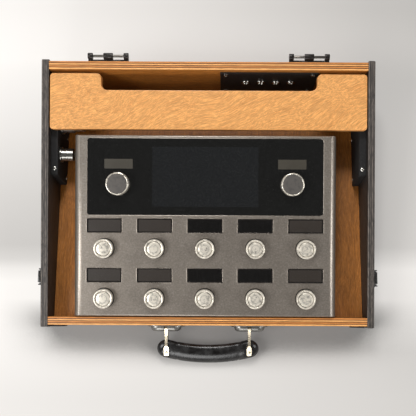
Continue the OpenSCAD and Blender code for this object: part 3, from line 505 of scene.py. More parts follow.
def coated(name, base, rough, grit, bump_height, lighter=0.12, metal=0.0):
    """A coat over metal or board: an even colour, a fine texture of one grit, and slight wear.

    grit is the size of the texture and bump_height its depth, both in metres. lighter says how
    much paler the high spots are.
    """
    material, shader = blank(name)
    place = put(material, "TexCoord").outputs["Object"]
    fine = put(
        material, "TexNoise",
        {"Vector": place, "Scale": 0.5 / grit, "Detail": 3.0, "Roughness": 0.6})
    # Handling marks, about 20 mm across
    marks = put(
        material, "TexNoise", {"Vector": place, "Scale": 50.0, "Detail": 4.0, "Roughness": 0.55})
    tone = put(
        material, "ValToRGB", {"Fac": fine.outputs[0]},
        stops=[(0.3, mixed(base, grey(0), 0.22)), (0.55, base),
               (0.75, mixed(base, grey(1), lighter))])
    smeared = put(
        material, "MapRange", {0: marks.outputs[0], 3: rough - 0.07, 4: rough + 0.09}).outputs[0]
    bump = put(
        material, "Bump",
        {"Height": fine.outputs[0], "Strength": 0.35, "Distance": bump_height})
    join(shader, {"Base Color": tone.outputs[0], "Roughness": smeared, "Metallic": metal,
                  "Normal": bump.outputs[0]})
    return material


def plated(name, base, rough, stretch, tarnish=0.25):
    """Nickel or brass plate, or bare steel, on drawn or stamped metal.

    stretch is how many scratches go on a metre along each axis, so they lie along the axis with
    the smallest number. Slow clouds, about 9 mm across, darken the shine by tarnish.
    """
    material, shader = blank(name)
    place = put(material, "TexCoord").outputs["Object"]
    drawn = put(material, "VectorMath", {0: place, 1: stretch}, operation="MULTIPLY").outputs[0]
    scratches = put(
        material, "TexNoise", {"Vector": drawn, "Scale": 1.0, "Detail": 4.0, "Roughness": 0.6})
    clouds = put(
        material, "TexNoise", {"Vector": place, "Scale": 110.0, "Detail": 3.0, "Roughness": 0.5})
    tone = put(
        material, "ValToRGB", {"Fac": clouds.outputs[0]},
        stops=[(0.35, mixed(base, grey(0.05), tarnish)), (0.6, base)])
    smeared = put(
        material, "MapRange",
        {0: scratches.outputs[0], 3: max(rough - 0.08, 0.04), 4: rough + 0.12}).outputs[0]
    bump = put(
        material, "Bump",
        {"Height": scratches.outputs[0], "Strength": 0.12, "Distance": 0.05 * MM})
    join(shader, {"Base Color": tone.outputs[0], "Metallic": 1.0, "Roughness": smeared,
                  "Normal": bump.outputs[0]})
    return material


def turned_metal(name, base, rough, ring=0.25 * MM, metal=1.0, rings=0.0):
    """Turned metal with the fine rings that the cutter left round the axis.

    ring is the distance between them, coarser than on the real face so that they show. metal
    below 1 gives the milky shine of a bead-blasted and anodised face, and rings says how
    strongly the broad rings of a cap show: lighter and darker turned rings, and a ring of painted
    shade over the groove of the cap.
    """
    material, shader = blank(name)
    turning = put(material, "Attribute", attribute_name="turning").outputs["Vector"]
    fine = put(
        material, "VectorMath", {0: turning, 1: (1 / ring, 1 / ring, 0)},
        operation="MULTIPLY").outputs[0]
    cut = put(
        material, "TexNoise", {"Vector": fine, "Scale": 1.0, "Detail": 2.0, "Roughness": 0.6})
    place = put(material, "TexCoord").outputs["Object"]
    # Finger marks and rubbed spots, a few millimetres across
    spots = put(
        material, "TexNoise", {"Vector": place, "Scale": 260.0, "Detail": 3.0, "Roughness": 0.6})
    spotted = put(
        material, "ValToRGB", {"Fac": spots.outputs[0]},
        stops=[(0.36, mixed(base, grey(0.04), 0.4)), (0.5, base)])
    # Broad rings, polished or left dull, at their places on a cap of 14 mm radius, and a darker
    # ring of painted shade over the groove near 10.5 mm
    radius = put(material, "SeparateXYZ", {0: turning}).outputs[0]
    outward = put(material, "MapRange", {0: radius, 2: 14 * MM}).outputs[0]
    rings_with_groove_shade = put(
        material, "ValToRGB", {"Fac": outward},
        stops=[(at, grey(level)) for at, level in (
            (0.0, 0.7), (0.1, 1.0), (0.36, 0.95), (0.41, 0.5), (0.47, 0.9), (0.66, 1.0),
            (0.7, 0.42), (0.78, 0.5), (0.82, 1.0), (0.97, 0.9), (1.0, 0.6))])
    tone = put(
        material, "Mix", {0: rings, 6: spotted.outputs[0], 7: rings_with_groove_shade.outputs[0]},
        data_type="RGBA", blend_type="MULTIPLY")
    smeared = put(
        material, "MapRange",
        {0: spots.outputs[0], 3: max(rough - 0.1, 0.04), 4: rough + 0.14}).outputs[0]
    bump = put(
        material, "Bump", {"Height": cut.outputs[0], "Strength": 0.3, "Distance": 0.02 * MM})
    join(shader, {"Base Color": tone.outputs[2], "Metallic": metal, "Roughness": smeared,
                  "Normal": bump.outputs[0]})
    return material


def glossy_black(name, base, rough, haze=0.05):
    """Black glass or smoked acrylic: a clear top over a dark field, with faint wiping marks."""
    material, shader = blank(name)
    place = put(material, "TexCoord").outputs["Object"]
    # Wiping marks lie along X, some 40 mm long
    wiped = put(
        material, "VectorMath", {0: place, 1: (25, 160, 160)}, operation="MULTIPLY").outputs[0]
    marks = put(
        material, "TexNoise", {"Vector": wiped, "Scale": 1.0, "Detail": 4.0, "Roughness": 0.6})
    # Dust, about a millimetre across
    dust = put(
        material, "TexNoise", {"Vector": place, "Scale": 900.0, "Detail": 2.0, "Roughness": 0.5})
    tone = put(
        material, "ValToRGB", {"Fac": dust.outputs[0]},
        stops=[(0.5, base), (0.78, mixed(base, grey(0.5), 0.03))])
    smeared = put(
        material, "MapRange", {0: marks.outputs[0], 3: rough, 4: rough + haze}).outputs[0]
    join(shader, {"Base Color": tone.outputs[0], "Roughness": smeared, "IOR": 1.5})
    return material


def moulded(name, base, rough, pebble, height):
    """Moulded rubber, plastic or vinyl with a pebbled skin.

    pebble is the size of one cell and height its depth, both in metres.
    """
    material, shader = blank(name)
    place = put(material, "TexCoord").outputs["Object"]
    cells = put(
        material, "TexVoronoi", {"Vector": place, "Scale": 1 / pebble, "Randomness": 0.9},
        feature="SMOOTH_F1")
    # Rubbed places, about 14 mm across
    rubbed = put(
        material, "TexNoise", {"Vector": place, "Scale": 70.0, "Detail": 4.0, "Roughness": 0.6})
    tone = put(
        material, "ValToRGB", {"Fac": rubbed.outputs[0]},
        stops=[(0.35, base), (0.7, mixed(base, grey(0.3), 0.08))])
    smeared = put(
        material, "MapRange", {0: rubbed.outputs[0], 3: rough - 0.08, 4: rough + 0.1}).outputs[0]
    bump = put(
        material, "Bump", {"Height": cells.outputs[0], "Strength": 0.4, "Distance": height})
    join(shader, {"Base Color": tone.outputs[0], "Roughness": smeared, "Normal": bump.outputs[0],
                  "IOR": 1.42})
    return material


# Operators


class PEDALCASE_OT_boards(bpy.types.Operator):
    """Boards of the case: stained side boards, birch walls, floor and the shelf supports"""

    bl_idname = "pedalcase.boards"
    bl_label = "Case boards"
    bl_options = {"REGISTER", "UNDO"}

    def execute(self, context):
        sizes, tints = settings(context)
        inside = (tints.inside_wood, tints.inside_dark)
        edges = (tints.ply_edge, tints.ply_cross, tints.ply_glue)
        along_x = (120, 1600, 1600)
        along_y = (1600, 110, 1600)
        for side in SIDES:
            low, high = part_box("side_panel_" + side)
            thick = high.x - low.x
            # Black stain leaves the plies of the worn rim grey and streaky
            stained = plywood(
                "stained_plywood_" + side, ((1 / thick, 0, 0), low.x / thick),
                (tints.black_stain, mixed(tints.black_stain, grey(0), 0.35)), tints.stain_edge,
                mixed(tints.stain_edge, tints.stain_glue, 0.4), tints.stain_glue, along_y,
                gloss=0.55, streak=0.15)
            softened("side_panel_" + side, "side_board_" + side, "case", stained,
                     sizes.board_edge * 1.3, 3)
        # Oiled birch: warm and half matt, with its plies on the sawn edges
        for node in ("front_wall", "back_wall"):
            low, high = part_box(node)
            thick = high.y - low.y
            birch = plywood("birch_plywood_" + node, ((0, 1 / thick, 0), low.y / thick),
                            inside, *edges, along_x)
            softened(node, node + "_board", "case", birch, sizes.board_edge, 3)
        low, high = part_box("floor_panel")
        thick = high.z - low.z
        birch = plywood("birch_plywood_floor", ((0, 0, 1 / thick), low.z / thick),
                        inside, *edges, along_y)
        softened("floor_panel", "floor_board", "case", birch, 0.3 * MM)
        # Matt paint over board shows the brush and a little grit
        paint = coated("matt_black_paint", tints.black_paint, 0.75, 1.2 * MM, 0.1 * MM, 0.02)
        softened("shelf_supports", "shelf_carriers", "case", paint, 0.8 * MM)
        return {"FINISHED"}


class PEDALCASE_OT_shelf(bpy.types.Operator):
    """Cable shelf with its rounded edges and its cut-out"""

    bl_idname = "pedalcase.shelf"
    bl_label = "Cable shelf"
    bl_options = {"REGISTER", "UNDO"}

    def execute(self, context):
        sizes, tints = settings(context)
        up = TILT @ Vector((0, 0, 1))
        mesh = merged("shelf")
        heights = [up.dot(v.co) for v in mesh.verts]
        thick = max(heights) - min(heights)
        # Sanded and oiled face veneer: pale, silky, with a curled figure across the board
        veneer = plywood(
            "oiled_birch_plywood", (tuple(up / thick), min(heights) / thick),
            (tints.veneer, tints.veneer_dark), tints.ply_edge, tints.ply_cross, tints.ply_glue,
            (170, 1800, 1800), turn=(-SLOPE, 0, -0.45), gloss=0.38, curl=0.07)
        soften(mesh, sizes.board_edge, 3)
        piece(mesh, "cable_shelf", "case", veneer, ("shelf",))
        return {"FINISHED"}


class PEDALCASE_OT_patch_panel(bpy.types.Operator):
    """Patch panel on the back wall, its jacks and its screws"""

    bl_idname = "pedalcase.patch_panel"
    bl_label = "Patch panel"
    bl_options = {"REGISTER", "UNDO"}

    def execute(self, context):
        sizes, tints = settings(context)
        # Powder coat has a fine orange-peel skin
        coat = coated("black_powder_coat", tints.powder_black, 0.42, 0.8 * MM, 0.05 * MM, 0.03)
        # Nickel is bright and faintly yellow, with fine marks
        plate = plated("nickel_plate", tints.nickel, 0.22, (900, 120, 900))
        softened("patch_panel", "socket_panel", "case", coat, sizes.sheet_edge)
        softened("patch_jacks", "panel_sockets", "case", plate, 0.25 * MM)
        softened("patch_screws", "panel_fixing_screws", "case", plate, 0.15 * MM)
        softened("support_screws", "carrier_screws", "case", plate, 0.12 * MM)
        return {"FINISHED"}


class PEDALCASE_OT_hinges(bpy.types.Operator):
    """Lift-off hinge halves with their pins and screws"""

    bl_idname = "pedalcase.hinges"
    bl_label = "Hinges"
    bl_options = {"REGISTER", "UNDO"}

    def execute(self, context):
        sizes, tints = settings(context)
        # Black oxide wears to bare steel and keeps a dull oily shine
        oxide = coated("black_oxide_steel", tints.oxide_black, 0.34, 1.0 * MM, 0.03 * MM, 0.10, 0.6)
        # Bare drawn steel is greyer than plate, with dull clouds and marks along the pin
        bare = plated("bare_steel_pin", tints.steel, 0.3, (150, 1500, 1500), 0.5)
        for side in SIDES:
            softened("hinge_leaf_" + side, "hinge_half_" + side, "case", oxide,
                     sizes.sheet_edge * 2)
        softened("hinge_pins", "hinge_pin_rods", "case", bare, 0.3 * MM)
        softened("case_screws", "black_case_screws", "case", oxide, 0.12 * MM)
        return {"FINISHED"}


class PEDALCASE_OT_latches(bpy.types.Operator):
    """Draw latches on both side boards"""

    bl_idname = "pedalcase.latches"
    bl_label = "Draw latches"
    bl_options = {"REGISTER", "UNDO"}

    def execute(self, context):
        sizes, tints = settings(context)
        # A smooth coat on pressed steel, half glossy where hands rub it
        coat = coated("black_latch_coat", tints.powder_black, 0.33, 0.8 * MM, 0.03 * MM, 0.06)
        for side in SIDES:
            softened("latch_plate_" + side, "latch_base_" + side, "case", coat,
                     sizes.sheet_edge)
            softened("latch_lever_" + side, "latch_cover_" + side, "lever_" + side, coat,
                     0.25 * MM)
            softened("latch_claw_" + side, "latch_hook_" + side, "claw_" + side, coat,
                     0.25 * MM)
        return {"FINISHED"}


class PEDALCASE_OT_handle(bpy.types.Operator):
    """Carrying handle: stamped mounts, strap bails and a padded grip"""

    bl_idname = "pedalcase.handle"
    bl_label = "Handle"
    bl_options = {"REGISTER", "UNDO"}

    def execute(self, context):
        sizes, tints = settings(context)
        # Nickel over stamped steel, a soft grey mirror, its colour darkened towards black as a
        # painted dark reflection of the front wall
        nickel_painted_dark = plated(
            "nickel_mount_painted_reflection", mixed(tints.nickel, grey(0.03), 0.6), 0.36, (600, 600, 600),
            0.2)
        # Rolled strap under warm nickel, with fine marks along it
        strap = plated("warm_nickel_strap", tints.warm_nickel, 0.26, (1200, 150, 1200), 0.2)
        # Bare steel is dull beside the plate
        bare = plated("bare_steel_rivet", tints.steel, 0.3, (150, 1500, 1500), 0.4)
        # Smooth vinyl, glossed by the hand, with a fine pebble
        vinyl = moulded("glossed_vinyl", tints.grip, 0.25, 1.1 * MM, 0.03 * MM)
        as_made("handle_mounts", "handle_domes", "case", nickel_painted_dark)
        softened("handle_pins", "handle_pin_rods", "case", bare, 0.2 * MM)
        as_made("handle_bails", "handle_straps", "handle", strap)
        self.grip(sizes.grip_bow, vinyl)
        return {"FINISHED"}

    def grip(self, bow, vinyl):
        """Sweeps an ellipse along the bow, then draws it in to a round end on both sides."""
        # Half the distance between the straps, and from the pins to the pads
        half_gap, pad_at = 62 * MM, 34.3 * MM
        # Half the width and half the thickness of the padding
        half_w, half_t = 14.5 * MM, 8.5 * MM
        radius = (half_gap ** 2 + bow ** 2) / (2 * bow)
        half_arc = math.asin(half_gap / radius)
        centre = Vector((0, pad_at + bow - radius, 0))
        mesh = bmesh.new()
        ring = bmesh.ops.create_circle(mesh, segments=36, radius=1.0)["verts"]
        bmesh.ops.scale(mesh, vec=(half_t, half_w, 1), verts=ring)
        bmesh.ops.transform(mesh, matrix=TO_RIGHT, verts=ring)
        start = Matrix.Translation(centre) @ Matrix.Rotation(half_arc, 4, "Z")
        bmesh.ops.transform(mesh, matrix=start @ Matrix.Translation((0, radius, 0)), verts=ring)
        first = mesh.edges[:]
        swept = bmesh.ops.spin(
            mesh, geom=ring + first, cent=centre, axis=(0, 0, 1), dvec=(0, 0, 0),
            angle=-2 * half_arc, steps=46)["geom_last"]
        last = [g for g in swept if isinstance(g, bmesh.types.BMEdge)]
        self.round_end(mesh, first, -1, half_arc, half_w)
        self.round_end(mesh, last, 1, half_arc, half_w)
        # A shallow groove where the padding ends, beside each strap
        groove_at, groove_half = 47 * MM, 1.4 * MM
        for side in (-1, 1):
            groove = [v for v in mesh.verts if abs(v.co.x - side * groove_at) < groove_half]
            hub = sum((v.co for v in groove), Vector()) / len(groove)
            bmesh.ops.scale(
                mesh, vec=(1, 0.965, 0.955), space=Matrix.Translation(-hub), verts=groove)
        # Flat seats under the riveted pads
        seat_half_x, seat_half_y, seat_top = 4.4 * MM, 8.6 * MM, 7.25 * MM
        for point in mesh.verts:
            beside = abs(abs(point.co.x) - half_gap) < seat_half_x
            along = abs(point.co.y - pad_at) < seat_half_y
            if beside and along and abs(point.co.z) > seat_top:
                point.co.z = math.copysign(seat_top, point.co.z)
        # The handle hangs by this angle, at which the grip meets the ground
        droop = math.radians(25.431)
        pivot = joint("handle_swing")[0]
        place = (Matrix.Translation(pivot) @ Matrix.Rotation(math.pi, 4, "Z")
                 @ Matrix.Rotation(-droop, 4, "X"))
        bmesh.ops.transform(mesh, matrix=place, verts=mesh.verts)
        piece(mesh, "padded_grip", "handle", vinyl, ("handle_grip",), 50)

    def round_end(self, mesh, edges, side, half_arc, half_w):
        """Draws an open ring of edges out and in, step by step, to a closed round end."""
        steps = 9
        # The last ring stays a little open, and is then merged to one point
        least = 0.02
        along = Vector((side * math.cos(half_arc), -math.sin(half_arc), 0))
        before = 0.0
        for step in range(1, steps + 1):
            turn = math.radians(90) * step / steps
            drawn = bmesh.ops.extrude_edge_only(mesh, edges=edges)["geom"]
            edges = [g for g in drawn if isinstance(g, bmesh.types.BMEdge)]
            verts = [g for g in drawn if isinstance(g, bmesh.types.BMVert)]
            bmesh.ops.translate(
                mesh, vec=along * half_w * (math.sin(turn) - math.sin(before)), verts=verts)
            hub = sum((v.co for v in verts), Vector()) / len(verts)
            scale = max(math.cos(turn), least) / max(math.cos(before), least)
            bmesh.ops.scale(
                mesh, vec=(scale, scale, scale), space=Matrix.Translation(-hub), verts=verts)
            before = turn
        bmesh.ops.pointmerge(mesh, verts=verts, merge_co=hub)


class PEDALCASE_OT_feet(bpy.types.Operator):
    """Rubber feet and corner guards"""

    bl_idname = "pedalcase.feet"
    bl_label = "Feet and corners"
    bl_options = {"REGISTER", "UNDO"}

    def execute(self, context):
        sizes, tints = settings(context)
        # Moulded rubber is matt and finely pebbled
        rubber = moulded("moulded_rubber", tints.rubber, 0.7, 0.9 * MM, 0.05 * MM)
        softened("corner_protectors", "corner_guards", "case", rubber, sizes.moulded_edge)
        softened("case_feet", "rubber_feet", "case", rubber, sizes.moulded_edge)
        softened("unit_feet", "unit_rubber_feet", "unit", rubber, 0.3 * MM)
        return {"FINISHED"}


class PEDALCASE_OT_couplers(bpy.types.Operator):
    """Two through couplers in the left board and the plug in the rear one"""

    bl_idname = "pedalcase.couplers"
    bl_label = "Wall couplers"
    bl_options = {"REGISTER", "UNDO"}

    def execute(self, context):
        tints = settings(context)[1]
        # Nickel with marks along the barrel, softer, and its colour darkened towards black as
        # painted shade
        satin = plated("nickel_barrel_painted_shade", mixed(tints.nickel, grey(0.03), 0.55), 0.26,
                       (250, 1400, 1400))
        # Bare brass is warm, and a little tarnished
        brass = plated("knurled_brass", tints.brass, 0.3, (500, 500, 500), 0.4)
        softened("wall_couplers", "coupler_barrels", "case", satin, 0.4 * MM)
        mesh = soften(merged("coupler_plug"), 0.3 * MM)
        # The plug's polished plate catches the light
        shiny = plated("bright_plug_nickel", tints.nickel, 0.25, (250, 1400, 1400))
        piece(mesh, "plug_barrel", "plug", shiny, ("coupler_plug",))
        # Forty-eight straight knurls: every other one of 96 rows of points lies deeper
        low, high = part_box("coupler_plug")
        collar_start = 9.6 * MM
        place = (Matrix.Translation((high.x, (low.y + high.y) / 2, (low.z + high.z) / 2))
                 @ TO_RIGHT @ Matrix.Translation((0, 0, -collar_start)))
        profile = [(5.25, 0.4), (5.7, 0.8), (5.75, 1.2), (5.75, 7.6), (5.7, 8.0), (5.25, 8.4)]
        collar = lathed(in_metres(profile), place, 96)
        flute(collar, place, 96, 0.6 * MM, 8.2 * MM, 5.5 * MM, 0.35 * MM)
        piece(collar, "plug_collar_knurl", "plug", brass)
        return {"FINISHED"}


class PEDALCASE_OT_unit(bpy.types.Operator):
    """Housing of the floor unit with its base, glass, windows and rear jacks"""

    bl_idname = "pedalcase.unit"
    bl_label = "Floor unit"
    bl_options = {"REGISTER", "UNDO"}

    def execute(self, context):
        sizes, tints = settings(context)
        # A fine hammered coat on folded metal, with a silky shine
        coat = coated("fine_textured_coat", tints.unit_grey, 0.34, 1.1 * MM, 0.03 * MM, 0.1, 0.75)
        # Plain black coat, nearly matt
        dark = coated("black_base_coat", tints.powder_black, 0.5, 1.0 * MM, 0.05 * MM, 0.04)
        # Moulded sockets have a faint skin
        plastic = moulded("black_socket_plastic", tints.rubber, 0.45, 0.8 * MM, 0.02 * MM)
        # Bare bright metal draws a thin line of light round each window
        bright = coated("bright_window_rim", tints.unit_rim, 0.28, 1.0 * MM, 0.01 * MM, 0.1, 0.85)
        piece(merged("unit_housing", False), "unit_shell", "unit", coat,
              ("unit_housing",), 28, UNIT_UP)
        softened("unit_base", "unit_base_plate", "unit", dark, 0.3 * MM)
        softened("unit_jacks", "unit_rear_sockets", "unit", plastic, 0.3 * MM)
        self.glass(tints, bright)
        self.displays(sizes, tints, bright)
        return {"FINISHED"}

    def glass(self, tints, bright):
        """The glass panel, the screen in it and the two label windows above the knobs."""
        # Black glass is a hard clear mirror over black
        black = glossy_black("black_glass", tints.glass, 0.06)
        softened("unit_glass", "control_glass", "unit", black, 0.25 * MM)
        low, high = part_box("unit_glass")
        centre = (low + high) / 2
        depth = (high.y - low.y) / math.cos(SLOPE)
        # The face of the glass over its middle
        face = 0.62 * MM
        edge = rim(high.x - low.x, depth, 4.5 * MM, 0.9 * MM, 0.28 * MM,
                   on_slope(centre, out=face - 0.2 * MM))
        piece(edge, "glass_rim", "unit", bright, smooth=60)
        # A screen that is off is a shade paler than the glass, and a little softer
        screen = glossy_black("screen_field", tints.screen, 0.1)
        field = rounded_plate(154 * MM, 87 * MM, 0.05 * MM, 1.0 * MM,
                              on_slope(centre, out=face - 0.02 * MM))
        piece(field, "main_screen", "unit", screen)
        # Smoked film, softly matt
        film = glossy_black("smoked_label_window", tints.label, 0.3, 0.1)
        for side in SIDES:
            spot = joint("knob_turn_" + side)[0]
            window = rounded_plate(41 * MM, 14 * MM, 0.06 * MM, 0.6 * MM,
                                   on_slope(spot, up=29.4 * MM, out=0.2 * MM))
            piece(window, "label_window_" + side, "unit", film)

    def displays(self, sizes, tints, bright):
        """Ten sunk windows, each with its rim and the field of its display."""
        # Smoked acrylic mirrors the room a little
        smoked = glossy_black("smoked_acrylic", tints.display, 0.12)
        # A display that is off shows grey and soft, or stays black and clear
        grey_field = glossy_black("display_field", tints.display_inner, 0.3, 0.08)
        black_field = glossy_black("unlit_field", mixed(tints.display, grey(0), 0.7), 0.06)
        width, depth = sizes.window_width, sizes.window_depth
        rims, panes, fields, unlit = [], [], [], []
        for number in SWITCHES:
            spot = joint(f"switch_turn_{number}")[0]
            ahead = sizes.display_ahead
            rims.append(rim(width - 0.2 * MM, depth - 0.2 * MM, 1.5 * MM, sizes.window_rim,
                            0.22 * MM, on_slope(spot, up=ahead)))
            panes.append(rounded_plate(width - 0.1 * MM, depth - 0.1 * MM, 1.0 * MM, 1.5 * MM,
                                       on_slope(spot, up=ahead, out=-1.5 * MM), 0.2 * MM))
            # The third and the fourth display of each row look black
            kind = unlit if number % 5 in (3, 4) else fields
            kind.append(rounded_plate(width - 4.4 * MM, depth - 3.8 * MM, 0.05 * MM, 0.8 * MM,
                                      on_slope(spot, up=ahead, out=-0.51 * MM)))
        piece(joined(rims), "display_rims", "unit", bright, smooth=60)
        piece(joined(panes), "display_windows", "unit", smoked,
              ("unit_displays",))
        piece(joined(fields), "display_fields", "unit", grey_field)
        piece(joined(unlit), "unlit_display_fields", "unit", black_field)


class PEDALCASE_OT_controls(bpy.types.Operator):
    """Ten footswitches and two knobs, each a turned cap on its stem"""

    bl_idname = "pedalcase.controls"
    bl_label = "Footswitches and knobs"
    bl_options = {"REGISTER", "UNDO"}

    def execute(self, context):
        sizes, tints = settings(context)
        # Turned and satin plated: milky bright, with polished and dull rings and a painted shade
        # ring over the groove
        satin = turned_metal("turned_cap_metal", tints.cap, 0.3, metal=0.55, rings=0.7)
        # Turned and polished: brighter than the caps
        bright = turned_metal("turned_knob_metal", tints.cap, 0.25, metal=0.7)
        # Ground steel has fine marks up the stem
        steel = plated("ground_steel_stem", tints.steel, 0.3, (900, 900, 200), 0.3)
        # Bead-blasted and anodised: an even grey without a mirror
        blasted = turned_metal("blasted_knob_top", tints.knob_top, 0.5, 0.35 * MM, metal=0.4)
        # Painted shade: a black ring under each cap stands in for the shadow in the gap round it
        # and keeps its outline dark
        dark = coated("painted_shade_black_ring", tints.powder_black, 0.4, 0.8 * MM, 0.02 * MM, 0.04)
        for number in SWITCHES:
            self.footswitch(number, sizes, satin, steel)
        for side in SIDES:
            self.knob(side, sizes, bright, blasted, steel)
        # Each ring of a well lies low enough for the pressed cap to stay clear
        wide = sizes.cap_radius / MM + 0.8
        profile = in_metres(
            [(4.2, 0), (4.2, 0.1), (9.0, 0.22), (wide - 0.4, 0.12), (wide, 0.02)])
        cap_shade_rings = [lathed(profile, on_slope(joint(f"switch_turn_{number}")[0], out=-1.2 * MM), 48)
                 for number in SWITCHES]
        piece(joined(cap_shade_rings), "switch_cap_shade_rings", "unit", dark)
        return {"FINISHED"}

    def footswitch(self, number, sizes, satin, steel):
        """A cap with a bright rim, a groove and a crowned middle; its wall is fluted for grip."""
        finish_node(f"switch_stem_{number}", steel)
        place = on_slope(joint(f"switch_turn_{number}")[0], out=0.6 * MM)
        r, h = sizes.cap_radius / MM, sizes.cap_height / MM
        profile = [
            (0.0, h - ROOF), (BORE, h - ROOF), (BORE, 0.0), (r - 1.0, 0.0), (r - 0.4, 0.5),
            (r - 0.4, 1.4), (r, 1.8), (r, h - 3.2), (r - 0.3, h - 2.6), (r - 0.1, h - 2.2),
            (r - 0.15, h - 0.9), (r - 0.7, h - 0.15), (r - 1.5, h), (r - 2.4, h - 0.2),
            (r - 2.8, h - 0.7), (r - 3.0, h - 1.7), (r - 3.6, h - 1.7), (r - 3.9, h - 0.9),
            (r - 4.7, h - 0.35), (r - 7.0, h - 0.02), (r - 9.5, h + 0.15), (r - 12.0, h + 0.2),
            (0.0, h + 0.2)]
        mesh = lathed(in_metres(profile), place, 96, 0.12 * MM)
        flute(mesh, place, 96, 1.6 * MM, (h - 2.9) * MM, (r - 0.2) * MM, 0.28 * MM)
        piece(mesh, f"switch_button_{number}", f"switch_turn_{number}", satin,
              (f"switch_cap_{number}",), 40)

    def knob(self, side, sizes, bright, blasted, steel):
        """A knob with a bright chamfer round a flat blasted top and a fluted wall."""
        finish_node("knob_stem_" + side, steel)
        spot = joint("knob_turn_" + side)[0]
        place = on_slope(spot, out=KNOB_GAP * MM)
        r, h = sizes.knob_radius / MM, sizes.knob_height / MM
        profile = [
            (0.0, h - ROOF), (BORE, h - ROOF), (BORE, 0.0), (r - 0.9, 0.0), (r - 0.35, 0.5),
            (r - 0.35, 1.2), (r, 1.6), (r, h - 2.2), (r - 0.3, h - 1.7), (r - 0.2, h - 1.2),
            (r - 0.9, h - 0.2), (r - 1.5, h), (r - 2.0, h - 0.1), (r - 2.3, h - 0.6),
            (0.0, h - 0.6)]
        mesh = lathed(in_metres(profile), place, 120, 0.12 * MM)
        flute(mesh, place, 120, 1.4 * MM, (h - 2.0) * MM, (r - 0.2) * MM, 0.25 * MM)
        piece(mesh, "knob_body_" + side, "knob_turn_" + side, bright,
              ("knob_cap_" + side,), 40)
        # The blasted disc fills the hollow inside the chamfer
        disc = [(0.0, 0.0), (r - 2.35, 0.0), (r - 2.35, 0.2), (r - 3.0, 0.3), (6.0, 0.18),
                (0.0, 0.12)]
        inlay = lathed(in_metres(disc), on_slope(spot, out=(KNOB_GAP + h - 0.62) * MM), 96)
        piece(inlay, "knob_inlay_" + side, "knob_turn_" + side, blasted)


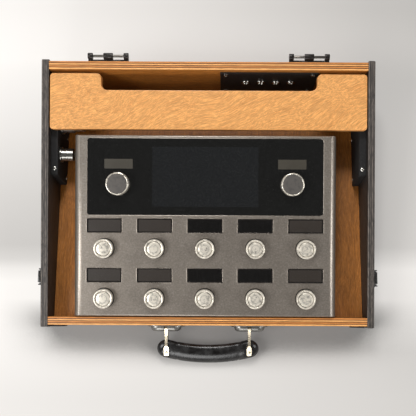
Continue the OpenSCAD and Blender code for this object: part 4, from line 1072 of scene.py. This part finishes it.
class PEDALCASE_OT_stage(bpy.types.Operator):
    """Pale floor, soft lamps and the camera over the case"""

    bl_idname = "pedalcase.stage"
    bl_label = "Stage"
    bl_options = {"REGISTER", "UNDO"}

    def execute(self, context):
        tints = settings(context)[1]
        mesh = bmesh.new()
        bmesh.ops.create_grid(mesh, x_segments=8, y_segments=8, size=6.0)
        data = bpy.data.meshes.new("studio_floor")
        mesh.to_mesh(data)
        mesh.free()
        floor = bpy.data.objects.new("studio_floor", data)
        context.scene.collection.objects.link(floor)
        data.materials.append(self.paper(tints))
        for lamp in LAMPS:
            self.lamp(*lamp)
        self.surroundings()
        self.camera()
        return {"FINISHED"}

    def paper(self, tints):
        """Matt paper with painted light in its glow: bright at the left and in front, with a
        painted soft horizon, and a painted shadow in front of the case.
        """
        material, shader = blank("pale_studio_paper")
        place = put(material, "TexCoord").outputs["Object"]
        apart = put(material, "SeparateXYZ", {0: place}).outputs
        back = put(material, "MapRange", {0: apart[1], 1: -0.3, 2: 0.4}).outputs[0]
        across = put(material, "MapRange", {0: apart[0], 1: -0.34, 2: 0.34}).outputs[0]
        # Painted light: the level of the glow across the paper, from the painted bands on the left
        # and on the right
        left, right = (
            put(material, "ValToRGB", {"Fac": back}, stops=[
                (at, (level, level * 0.97, level * 0.94, 1)) for at, level in painted_light_levels]).outputs[0]
            for painted_light_levels in (PAINTED_LIGHT_LEFT, PAINTED_LIGHT_RIGHT))
        level = put(
            material, "Mix", {0: across, 6: left, 7: right}, data_type="RGBA").outputs[2]
        # Painted shadow: ambient occlusion, kept to a band in front of the case, darkens the paper
        # where its front wall stands close
        near = put(material, "AmbientOcclusion", {"Distance": 0.09}, samples=12).outputs["AO"]
        dark = put(material, "MapRange", {0: near, 1: 0.77, 2: 0.96, 3: 0.65, 4: 0.0}).outputs[0]
        # The band in front of the case that takes the painted shadow
        ahead = put(
            material, "ValToRGB", {"Fac": back},
            stops=[(0.08, grey(0)), (0.135, grey(1)), (0.186, grey(1)), (0.243, grey(0))])
        shadow = put(
            material, "Math", {0: dark, 1: ahead.outputs[0]}, operation="MULTIPLY").outputs[0]
        outside_painted_shadow = put(material, "Math", {0: 1.0, 1: shadow}, operation="SUBTRACT").outputs[0]
        # The painted shadow darkens the paper's colour and its glow alike
        paper, glow = (
            put(material, "Mix", {0: 1.0, 6: before, 7: outside_painted_shadow}, data_type="RGBA",
                blend_type="MULTIPLY").outputs[2] for before in (tints.floor, level))
        # Part of the tone glows although the paper is no lamp. This is painted light, so that the
        # shadow of the case stays soft
        join(shader, {"Base Color": paper, "Roughness": 0.75, "Specular IOR Level": 0.2})
        glowing = put(material, "Emission", {"Color": glow, "Strength": 1.3})
        surface = put(
            material, "MixShader", {0: 0.42, 1: shader.outputs[0], 2: glowing.outputs[0]})
        join(material.node_tree.nodes["Material Output"], {"Surface": surface.outputs[0]})
        return material

    def lamp(self, name, place, width, power):
        """A square soft lamp that faces the case."""
        data = bpy.data.lights.new(name, "AREA")
        data.size = width
        data.energy = power
        lamp = bpy.data.objects.new(name, data)
        bpy.context.scene.collection.objects.link(lamp)
        lamp.location = place
        aim = Vector((0, 0, 0.05)) - lamp.location
        lamp.rotation_euler = aim.to_track_quat("-Z", "Y").to_euler()

    def surroundings(self):
        """A plain room, darker overhead, so that black glass stays black from above."""
        world = bpy.data.worlds.new("plain_room")
        bpy.context.scene.world = world
        world.use_nodes = True
        place = put(world, "TexCoord").outputs["Generated"]
        upward = put(world, "SeparateXYZ", {0: place}).outputs[2]
        # Level at the horizon and straight overhead
        level = put(world, "MapRange", {0: upward, 3: 0.46, 4: 0.14}).outputs[0]
        back = world.node_tree.nodes["Background"]
        join(back, {"Color": (1, 0.985, 0.965, 1), "Strength": level})

    def camera(self):
        """Looks down square to the rim of the case, a little from the right of the middle."""
        data = bpy.data.cameras.new("photo_camera")
        data.lens = VIEW_FOCAL / VIEW_SIDE * data.sensor_width
        camera = bpy.data.objects.new("photo_camera", data)
        bpy.context.scene.collection.objects.link(camera)
        # Right of the middle, behind the front wall's inner face, above the ground and the rim
        aside, behind_wall, height, above_rim = 0.030, 0.02014, 0.9452, 0.880
        # The lens is shifted back by what the camera stands aside
        data.shift_x = -aside / above_rim * data.lens / data.sensor_width
        inner_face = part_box("front_wall")[1].y
        camera.matrix_world = (
            Matrix.Translation((aside, inner_face + behind_wall, height)) @ TILT
            @ Matrix.Rotation(math.radians(0.3), 4, "Z"))
        bpy.context.scene.camera = camera
        bpy.context.scene.view_settings.view_transform = "Standard"


OPERATORS = (
    PEDALCASE_OT_boards, PEDALCASE_OT_shelf, PEDALCASE_OT_patch_panel, PEDALCASE_OT_hinges,
    PEDALCASE_OT_latches, PEDALCASE_OT_handle, PEDALCASE_OT_feet, PEDALCASE_OT_couplers,
    PEDALCASE_OT_unit, PEDALCASE_OT_controls, PEDALCASE_OT_stage)


class PEDALCASE_PT_panel(bpy.types.Panel):
    """Lists the pieces and their settings in the sidebar"""

    bl_idname = "PEDALCASE_PT_panel"
    bl_label = "Pedal case"
    bl_space_type = "VIEW_3D"
    bl_region_type = "UI"
    bl_category = "Pedal case"

    def draw(self, context):
        for operator in OPERATORS:
            self.layout.operator(operator.bl_idname)
        for group in settings(context):
            box = self.layout.box()
            for name in group.__annotations__:
                box.prop(group, name)


CLASSES = (PedalCaseColours, PedalCaseSizes, *OPERATORS, PEDALCASE_PT_panel)


def register():
    for item in CLASSES:
        bpy.utils.register_class(item)
    bpy.types.Scene.pedal_case_colours = bpy.props.PointerProperty(type=PedalCaseColours)
    bpy.types.Scene.pedal_case_sizes = bpy.props.PointerProperty(type=PedalCaseSizes)


def unregister():
    del bpy.types.Scene.pedal_case_sizes
    del bpy.types.Scene.pedal_case_colours
    for item in reversed(CLASSES):
        bpy.utils.unregister_class(item)


def main():
    """Builds every piece and the stage."""
    register()
    for operator in OPERATORS:
        group, name = operator.bl_idname.split(".")
        getattr(getattr(bpy.ops, group), name)()


if __name__ == "__main__":
    main()
